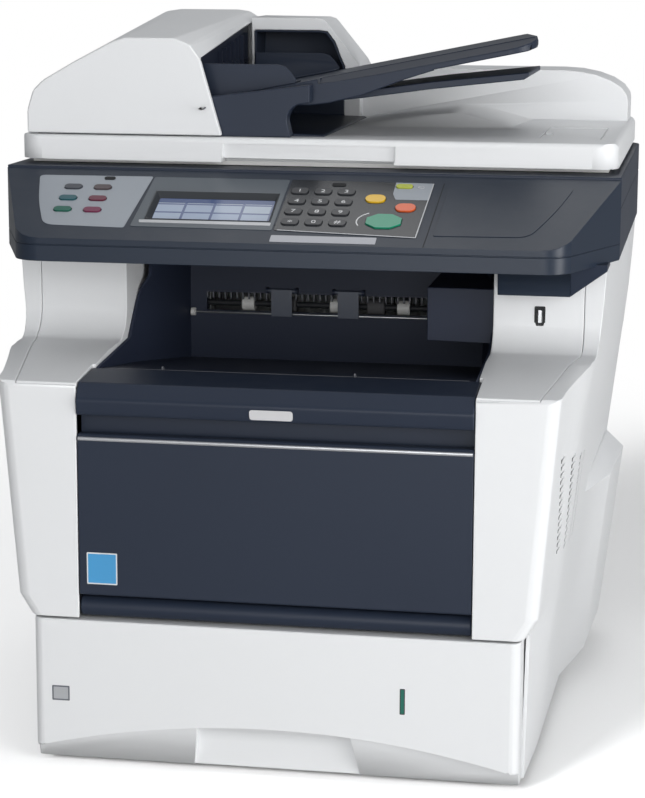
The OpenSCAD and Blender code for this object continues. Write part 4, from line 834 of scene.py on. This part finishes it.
left, right, near, far = SCREEN_X - 49.6, SCREEN_X + 49.6, SCREEN_UP - 21.6, SCREEN_UP + 21.6
GLASS_OUT = -2.5
well = [well_ring(left, right, near, far, GLASS_OUT), well_ring(left, right, near, far, 0.5),
        well_ring(left + 0.8, right - 0.5, near + 0.8, far - 0.6, 0.7),
        well_ring(left + 4, right - 2, near + 4, far - 6, GLASS_OUT + 0.3),
        well_ring(left + 4.4, right - 2.4, near + 4.4, far - 6.4, GLASS_OUT)]
deck_piece("screen_well", ring_solid(well, closed=True), well_painted_shade)
frame_outline = round_corners([(-124.5, 20.5), (-13, 19.5), (-12, 96.5), (-121.5, 96.5)], 2)
screen_hole = rectangle(left - 0.2, right + 0.2, near - 0.2, far + 0.2)
deck_plate("screen_plate", frame_outline, frame_paint, [screen_hole], bevel=0.12)
# silver rim along the well's lower edge: also a painted highlight, for the light on the lower bevel
lower_rim = [(left - 4, near - 1.2), (left - 3, near - 5.2), (right + 1, near - 5.6),
             (right + 1, near - 1.2)]
deck_plate("screen_rim", round_corners(lower_rim, 0.8), rim_paint, (), PLATE - 0.05, PLATE + 0.2)
print("screen at", round(SCREEN_X, 1), round(SCREEN_UP, 1))

# %% Screen picture
TILE, TILE_GAP, BAND_UP = (0.0232, 0.0125), 0.0011, 0.0268
paints["screen"], tree, surface = new_paint("screen_tiles")
place = add(tree, "ShaderNodeTexCoord").outputs["Object"]
deck_zero = DECK_Y * COS + DECK_Z * SIN
corner = (-(SCREEN_X - 46) / 1000, -(deck_zero + SCREEN_UP - 18) / 1000, 0)
flat = add(tree, "ShaderNodeMapping", {"vector_type": "POINT"}, Vector=place, Location=corner,
           Rotation=(-DECK_ANGLE, 0, 0)).outputs["Vector"]
tiles = add(tree, "ShaderNodeTexBrick", {"offset": 0.0}, Vector=flat, Scale=1.0,
            Brick_Width=TILE[0], Row_Height=TILE[1], Mortar_Size=TILE_GAP,
            Color1=(0.30, 0.36, 0.48, 1), Color2=(0.40, 0.46, 0.52, 1), Mortar=(0.12, 0.15, 0.26, 1))
up = add(tree, "ShaderNodeSeparateXYZ", Vector=flat).outputs["Y"]
band = calc(tree, "GREATER_THAN", up, BAND_UP)
picture = mixed(tree, band, tiles.outputs["Color"], (0.06, 0.09, 0.20, 1))
feed(surface, Base_Color=picture, Emission_Color=picture, Emission_Strength=0.15, Roughness=0.12)
print("screen picture is a plain grid of tiles")

# %% [markdown]
# ## Small parts of the deck
#
# Lenses, lines and printed marks: a pale line at two sides of the key film, an arc beside the
# start key, two small oval lenses, a ring lamp, the blank strip at the front, and the blank
# cover at the right that closes the place of an optional part. A thin near-black strip beside
# the blank cover is painted shade for the seam.

# %% Lines, lenses and blank covers
LINE = np.array([(-0.4, 0.0), (0.4, 0.0), (0.4, 0.25), (-0.4, 0.25)])
film_line = [(-9, 19.9), (98.2, 13.6), (102.2, 94.5)]
deck_piece("film_line", strip_along(film_line, LINE + (0, PLATE)), rim_paint)
turn = np.linspace(math.radians(205), math.radians(128), 12)
arc_path = np.column_stack([start_x + 21 * np.cos(turn), start_up + 15.5 * np.sin(turn)])
deck_piece("start_arc", strip_along(arc_path, LINE * (1.2, 0.6) + (0, PLATE)), print_white)
for name, spot, width in (("lens_left", (-157.5, 92.4), 9.0), ("lens_middle", (28.3, 90), 11)):
    deck_plate(name, key_loop(spot, width, 4.4, 2.1), black_and_gap_shade, (), 0.1, 1.0, 0.3, "key_dark")
LAMP = (93.2, 88.5)
deck_plate("lamp_ring", key_loop(LAMP, 5.2, 3.6, 1.7), rim_paint, [key_loop(LAMP, 3.8, 2.4, 1.1)],
           PLATE, PLATE + 0.5)
deck_plate("blank_strip", rectangle(-12, 69, 3.2, 12.6, 1), strip_paint, (), -0.05, 0.25, 0.08)
blank_outline = round_corners([(111, 17), (183, 18.5), (200, 55), (211.5, 92), (115, 94.5)],
                              (2, 10, 22, 4, 2))
deck_plate("blank_cover", blank_outline, panel_paint, (), -0.05, 0.45, 0.2, "dark_plastic")
# a thin near-black strip on the deck: painted shade for the seam between the deck and the blank cover
seam = strip_along([(105.4, 0.6), (106.2, 12), (110.4, 96.5)], LINE * (0.9, 0.2) - (0, 0.02))
deck_piece("deck_seam", seam, black_and_gap_shade, "key_dark")
print("lines, lenses and blank covers are on")

# %% [markdown]
# ## Numbers on the keys
#
# The number keys carry plain white digits. Text is drawn as a flat curve, turned into a mesh,
# and laid on each key cap. It rides with its key, so it goes down when the key is pressed.

# %% Digits
KEY_OUT = 1.4
for node, sign in NUMBER_KEYS.items():
    curve = bpy.data.curves.new("digit", "FONT")
    curve.body = sign
    curve.size = 6.4 if sign.isdigit() else 7.2
    curve.align_x, curve.align_y = "CENTER", "CENTER"
    curve.extrude = 0.06
    curve.resolution_u = 3
    letter = new_object("digit", curve)
    bpy.context.view_layer.update()
    drawn = letter.evaluated_get(bpy.context.evaluated_depsgraph_get())
    drawn = bpy.data.meshes.new_from_object(drawn)
    spots = points_of(drawn)
    middle = (spots.min(axis=0) + spots.max(axis=0)) / 2
    across, up = key_spot(node)
    shape = (spots - middle) * (1.25, 0.95, 1) + (across, up, KEY_OUT + 0.03)
    faces = [tuple(p.vertices) for p in drawn.polygons]
    bpy.data.objects.remove(letter)
    new_piece("legend_" + node.removeprefix("key_"), on_deck((shape, faces)), node, "key_slate",
              print_white)
print("digits:", "".join(NUMBER_KEYS.values()))

# %% [markdown]
# ## Trim on the front
#
# A silver strip finishes the top edge of the bypass tray. The lip above it carries a blank
# plate, and the tray a plain blue sticker. The drawer has a small window with a green bar that
# shows how much paper is left, and a blank mark for the paper size.

# %% Strip, plates and marks
tray_low, tray_high = (v * 1000 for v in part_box("bypass_tray"))
cover_low, cover_high = (v * 1000 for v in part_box("front_cover"))
drawer_low, drawer_high = (v * 1000 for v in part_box("drawer_front"))


def front_bar(x0, x1, profile, rows=2):
    """Profile (depth, height) carried along X from x0 to x1."""
    profile = np.asarray(profile, float)
    x = np.linspace(x0, x1, rows)
    rings = np.empty((rows, len(profile), 3))
    rings[:, :, 0] = x[:, None]
    rings[:, :, 1:] = profile[None]
    return ring_solid(rings)


def front_plate(outline, holes, face, low, high):
    """Flat plate on a front face: outline (across, height), standing out towards -Y from 'low' to
    'high'."""
    points, faces = cut_plate(outline, holes, low, high)
    return np.column_stack([points[:, 0], face - points[:, 2], points[:, 1]]), faces


a = np.linspace(-np.pi / 2, np.pi / 2, 7)
strip_side = np.column_stack([tray_low.y - 0.9 * np.cos(a), tray_high.z - 3.6 + 1.5 * np.sin(a)])
strip_back = [[(tray_low.y + 0.8, tray_high.z - down)] for down in (5.1, 2.1)]
strip_side = np.vstack([strip_back[0], strip_side, strip_back[1]])
new_piece("tray_strip", front_bar(tray_low.x + 0.6, tray_high.x - 0.6, strip_side, 5),
          "bypass_tray", "steel", satin_metal("strip_silver", (0.52, 0.53, 0.55), 0.3, 0.8))

LIP_TOP, LIP_LEAN = 293, 2 / 9
points, faces = front_plate(rectangle(-17, 16, 284.6, 292.4, 2.4), [], cover_low.y, -0.3, 0.5)
points[:, 1] += (LIP_TOP - points[:, 2]) * LIP_LEAN
new_piece("blank_badge", (points, faces), "front_cover", "white_plastic",
          satin_metal("badge_white", (0.70, 0.70, 0.71), 0.3, 0.2), 0.15)


def mark(name, body, slot, paint, box, low, high, inner=None, reach=0.0):
    """Thin plate on the tray's or the drawer's face: a rectangle, with a rectangular hole if asked."""
    face = (tray_low if body == "bypass_tray" else drawer_low).y
    holes = [rectangle(*inner, 0.5)] if inner else []
    new_piece(name, front_plate(rectangle(*box, reach), holes, face, low, high), body, slot, paint)


FIELD = (-173.3, -161.7, 56.7, 66.3)
sticker_paint = plastic("sticker_blue", (0.06, 0.32, 0.62), 0.35, 1500, 0.02, 0, 0.12)
mark("sticker_border", "bypass_tray", "white_plastic", print_white, (-145, -121, 150.5, 175.5),
     -0.05, 0.10, reach=0.8)
mark("sticker_blue", "bypass_tray", "guide_blue", sticker_paint, (-144, -122, 151.5, 174.5),
     0.05, 0.14, reach=0.5)
mark("gauge_frame", "drawer", "key_dark", None, (98.2, 102.2, 60.8, 81.2), -0.05, 0.12, reach=0.8)
mark("gauge_bar", "drawer", "key_green", plastic("gauge_green", (0.012, 0.14, 0.10), 0.3, 1500, 0.02),
     (98.9, 101.5, 61.6, 80.4), 0.08, 0.2)
mark("size_mark", "drawer", "key_slate", plastic("mark_grey", (0.13, 0.14, 0.16), 0.4, 1500, 0.02),
     (-174.5, -160.5, 55.5, 67.5), -0.05, 0.10, FIELD, 0.8)
mark("size_field", "drawer", "key_slate", plastic("mark_field", (0.42, 0.43, 0.45), 0.45, 1500, 0.02),
     FIELD, -0.05, 0.04, reach=0.5)
print("front trim is in place")

# %% [markdown]
# ## Delivery slot
#
# Printed sheets come out through a slot in the back wall. Behind it turns a steel shaft with
# small white rollers and black rubber ones, a thin wire runs in front of it, and a comb of fins
# hangs from its upper rim. The rollers are profiles turned round the shaft, so they replace the
# plain CAD rollers on the same body. A thin line moulded across the tray's floor and two ribs
# on it keep a sheet from sticking. They are a lighter grey than the tray, which paints the
# highlight that their edges catch.

# %% Turned pieces
def turned(profile, y, z, count=28):
    """Profile (across, radius) turned round an axis along X at a place (y, z): at angle t each point
    is (across, y + radius·cos t, z + radius·sin t)."""
    x, radius = np.asarray(profile, float).T
    t = np.arange(count) * 2 * np.pi / count
    rings = np.empty((len(x), count, 3))
    rings[:, :, 0] = x[:, None]
    rings[:, :, 1] = y + radius[:, None] * np.cos(t)
    rings[:, :, 2] = z + radius[:, None] * np.sin(t)
    return ring_solid(rings)


def together(shapes):
    """Several shapes as one: their points follow each other, and each face index is raised by the
    points before."""
    first = np.cumsum([0] + [len(points) for points, _ in shapes])
    return (np.concatenate([points for points, _ in shapes]),
            [tuple(int(i) + shift for i in face)
             for shift, (_, faces) in zip(first, shapes) for face in faces])


def roller(x, radius, width, y, z, bore=2.2):
    """Roller round a shaft: a cylinder with rims chamfered by a twentieth of its width."""
    soft = width / 20
    near, far = x - width / 2, x + width / 2
    return turned([(near, bore), (near, radius - soft), (near + soft, radius), (far - soft, radius),
                   (far, radius - soft), (far, bore)], y, z)


# %% Shaft, rollers and wire
exit_low, exit_high = (v * 1000 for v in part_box("exit_rollers"))
EXIT_Y, EXIT_Z = (exit_low.y + exit_high.y) / 2, (exit_low.z + exit_high.z) / 2
SHAFT_R = 2.5
shaft_side = [(exit_low.x, SHAFT_R - 0.5), (exit_low.x + 0.5, SHAFT_R), (exit_high.x - 0.5, SHAFT_R),
              (exit_high.x, SHAFT_R - 0.5)]
shaft = new_piece("exit_shaft", turned(shaft_side, EXIT_Y, EXIT_Z), "exit_rollers", "roller_white",
                  paints["black_plastic"])
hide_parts("exit_rollers")
for name, slot, radius, width, places in (("exit_white", "roller_white", 6.4, 11, (-78, -0.5, 58)),
                                          ("exit_black", "roller_rubber", 6.9, 15, (-43, 34, 86))):
    rollers = [roller(x, radius, width, EXIT_Y, EXIT_Z) for x in places]
    new_piece(name, together(rollers), "exit_rollers", slot)
wall_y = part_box("exit_flaps")[1].y * 1000 + 2.5
WIRE_Y, WIRE_Z = wall_y - 1.2, EXIT_Z - 6.6
wire_side = [(-124, 0.7), (-123.5, 0.9), (92, 0.9), (92.5, 0.7)]
new_piece("exit_wire", turned(wire_side, WIRE_Y, WIRE_Z, 12), "base", "steel")
new_piece("wire_end", roller(-124.5, 3.4, 4, WIRE_Y, WIRE_Z), "base", "roller_white")
fin_side = np.array([(0.4, 11.2), (0.4, 6.4), (1.4, 5.2), (3.2, 5.2), (3.2, 11.2)]) + (wall_y, EXIT_Z)
fins = [front_bar(x, x + 1.1, fin_side) for x in np.arange(-113, 96, 5.2)]
new_piece("slot_comb", together(fins), "base", "tray_plastic",
          plastic("comb_grey", (0.10, 0.11, 0.13), 0.35, 1200, 0.04))

# %% Line on the tray's floor
LINE_AT = (cover_low.y + 60, 308.95)
line_side = np.array([(-0.45, -0.3), (-0.3, 0.25), (0.3, 0.25), (0.45, -0.3)]) + LINE_AT
rib_side = np.array([(-0.5, -0.4), (-0.2, 2.6), (2.2, 2.4), (6, -1.4)]) + LINE_AT
ribs = [front_bar(x - 0.6, x + 0.6, rib_side) for x in (-98, 53)]
# the line and ribs are lighter grey than the tray: painted highlight along their edges
new_piece("tray_line", together([front_bar(-141, 141, line_side, 4)] + ribs), "base", "tray_plastic",
          plastic("line_painted_highlight", (0.11, 0.115, 0.13), 0.35, 1200, 0.04))
print("delivery slot is dressed")

# %% [markdown]
# ## Covers' corners, vents and socket
#
# The lid's corners are round outside and square inside, which leaves hardly any wall there, so a
# thin sleeve follows each corner from the front to the side. The vents get dark inserts just
# below the skin: their dark grey is painted shade, standing in for the shadow inside the vents,
# so that they read as openings. The memory socket gets a dark frame with a metal tongue, and the
# wedge under the panel's right end runs out to the side.

# %% Lid sleeves
def corner_sleeve(side, end):
    """Wall round a corner of the lid. At angle t its rim is the corner's centre plus the radius times
    (cos t, sin t), and its top follows the lid's own roundings: side start + sqrt(r² - beyond²)."""
    t = np.linspace(0, np.pi / 2, 15)
    centre = np.array([lid_high.x - LID_R, (LID_BACK if end > 0 else -lid_low.y) - LID_R])
    base = lid_low.z

    def limit(place, half, r):
        beyond = np.clip(place - (half - r), 0, r)
        return base + LID_H - r + np.sqrt(r ** 2 - beyond ** 2)

    height = np.minimum(limit(centre[0] + LID_R * np.cos(t), lid_high.x, 5),
                        limit(centre[1] + LID_R * np.sin(t), centre[1] + LID_R, 4))
    proud = 0.02 + 0.12 * np.sqrt(np.sin(2 * t).clip(0))
    radius = LID_R + np.outer(proud, (0, 1, 1, 1, 1, 0, 0)) + (-2.2, -0.5, 0, 0, -0.25, -0.9, -2.2)
    foot = [np.full(len(t), base + up) for up in (0.3, 0.05, 0.5)]
    z = np.stack(foot + [height - down for down in (0.8, 0.2, 0.02, 1.6)], axis=1)
    x, y = (centre[k] + radius * way(t)[:, None] for k, way in enumerate((np.cos, np.sin)))
    return ring_solid(np.stack([x, y, z], axis=2) * (side, end, 1))


sleeves = [corner_sleeve(side, end) for side in (-1, 1) for end in (-1, 1)]
new_piece("lid_sleeves", together(sleeves), "lid", "white_plastic", smooth=50)

# %% Vent inserts
side_mesh = nodes["right_side_cover"].data
side_tree = BVHTree.FromPolygons((points_of(side_mesh) * 1000).tolist(),
                                 [tuple(p.vertices) for p in side_mesh.polygons])
SLANT = math.radians(14)
VENTS, ROWS = 4, 14
front_y = cover_low.y + 4


def insert(y, z):
    """Thin plate in a vent, 0.9 mm under the skin: a rectangle turned by the slant of the vents."""
    skin = side_tree.ray_cast(Vector((400, y, z + 2.9)), Vector((-1, 0, 0)))[0].x
    u, v = rectangle(-5.7, 5.7, -1.35, 1.35).T
    loop = np.column_stack([y + u * math.cos(SLANT) - v * math.sin(SLANT),
                            z + u * math.sin(SLANT) + v * math.cos(SLANT)])
    return ring_solid([np.column_stack([np.full(4, skin - depth), loop]) for depth in (1.9, 0.9)])


# each vent goes from its top to its foot (depth, height), and the next one follows at a step
vents = [(1 - t) * np.array((38 + 36 * i, 256 - 6 * i)) + t * np.array((62 + 29 * i, 180 - 3 * i))
         for i in range(VENTS) for t in np.arange(ROWS) / (ROWS - 1)]
inserts = [insert(front_y + depth, z) for depth, z in vents]
# dark grey plates under the skin: painted shade for the shadow inside each vent
new_piece("vent_shade", together(inserts), "base", "key_slate",
          plastic("vent_painted_shade", (0.07, 0.072, 0.078), 0.5, 1200, 0.04))
print("vents:", len(inserts), "inserts")

# %% Memory socket and wedge
USB_X, USB_Z, USB_Y = 186, 346, front_y + 144


def round_socket(x, z, reach=0.0):
    """Rectangle round the socket's middle, from its half width and half height."""
    return rectangle(USB_X - x, USB_X + x, USB_Z - z, USB_Z + z, reach)


socket_rim = front_plate(round_socket(4.3, 8.4, 1.2), [round_socket(2.4, 6.2, 0.4)], USB_Y, -1.2, 0.3)
new_piece("socket_rim", socket_rim, "base", "key_dark", black_and_gap_shade)
new_piece("socket_tongue", front_plate(round_socket(1.3, 5), [], USB_Y, -6, -1.6), "base", "steel")
back = panel_high.y * 1000


def wedge_side(x, y_top, y_foot, drop):
    """Four corners of the wedge at a place across: it ends 'drop' below the scanner's underside."""
    top, foot = scanner_low.z * 1000 + 1, scanner_low.z * 1000 - drop
    return [(x, y_top, top), (x, y_foot, foot), (x, back, foot), (x, back, top)]


wedge = [wedge_side(212, front_y + 100, front_y + 106, 24.8),
         wedge_side(240, front_y + 101, front_y + 103, 4)]
new_piece("panel_wedge", ring_solid(wedge), "base", "dark_plastic", bevel=0.5)
print("socket and wedge are in place")

# %% Finishes on the CAD pieces that stay
for node, piece in nodes.items():
    piece.data.materials.clear()
    piece.data.materials.append(paints[node_slot[node]])
nodes["exit_flaps"].data.materials[0] = plastic("flap_slate", (0.07, 0.085, 0.12), 0.35, 1000, 0.05)
print("materials:", len(bpy.data.materials))
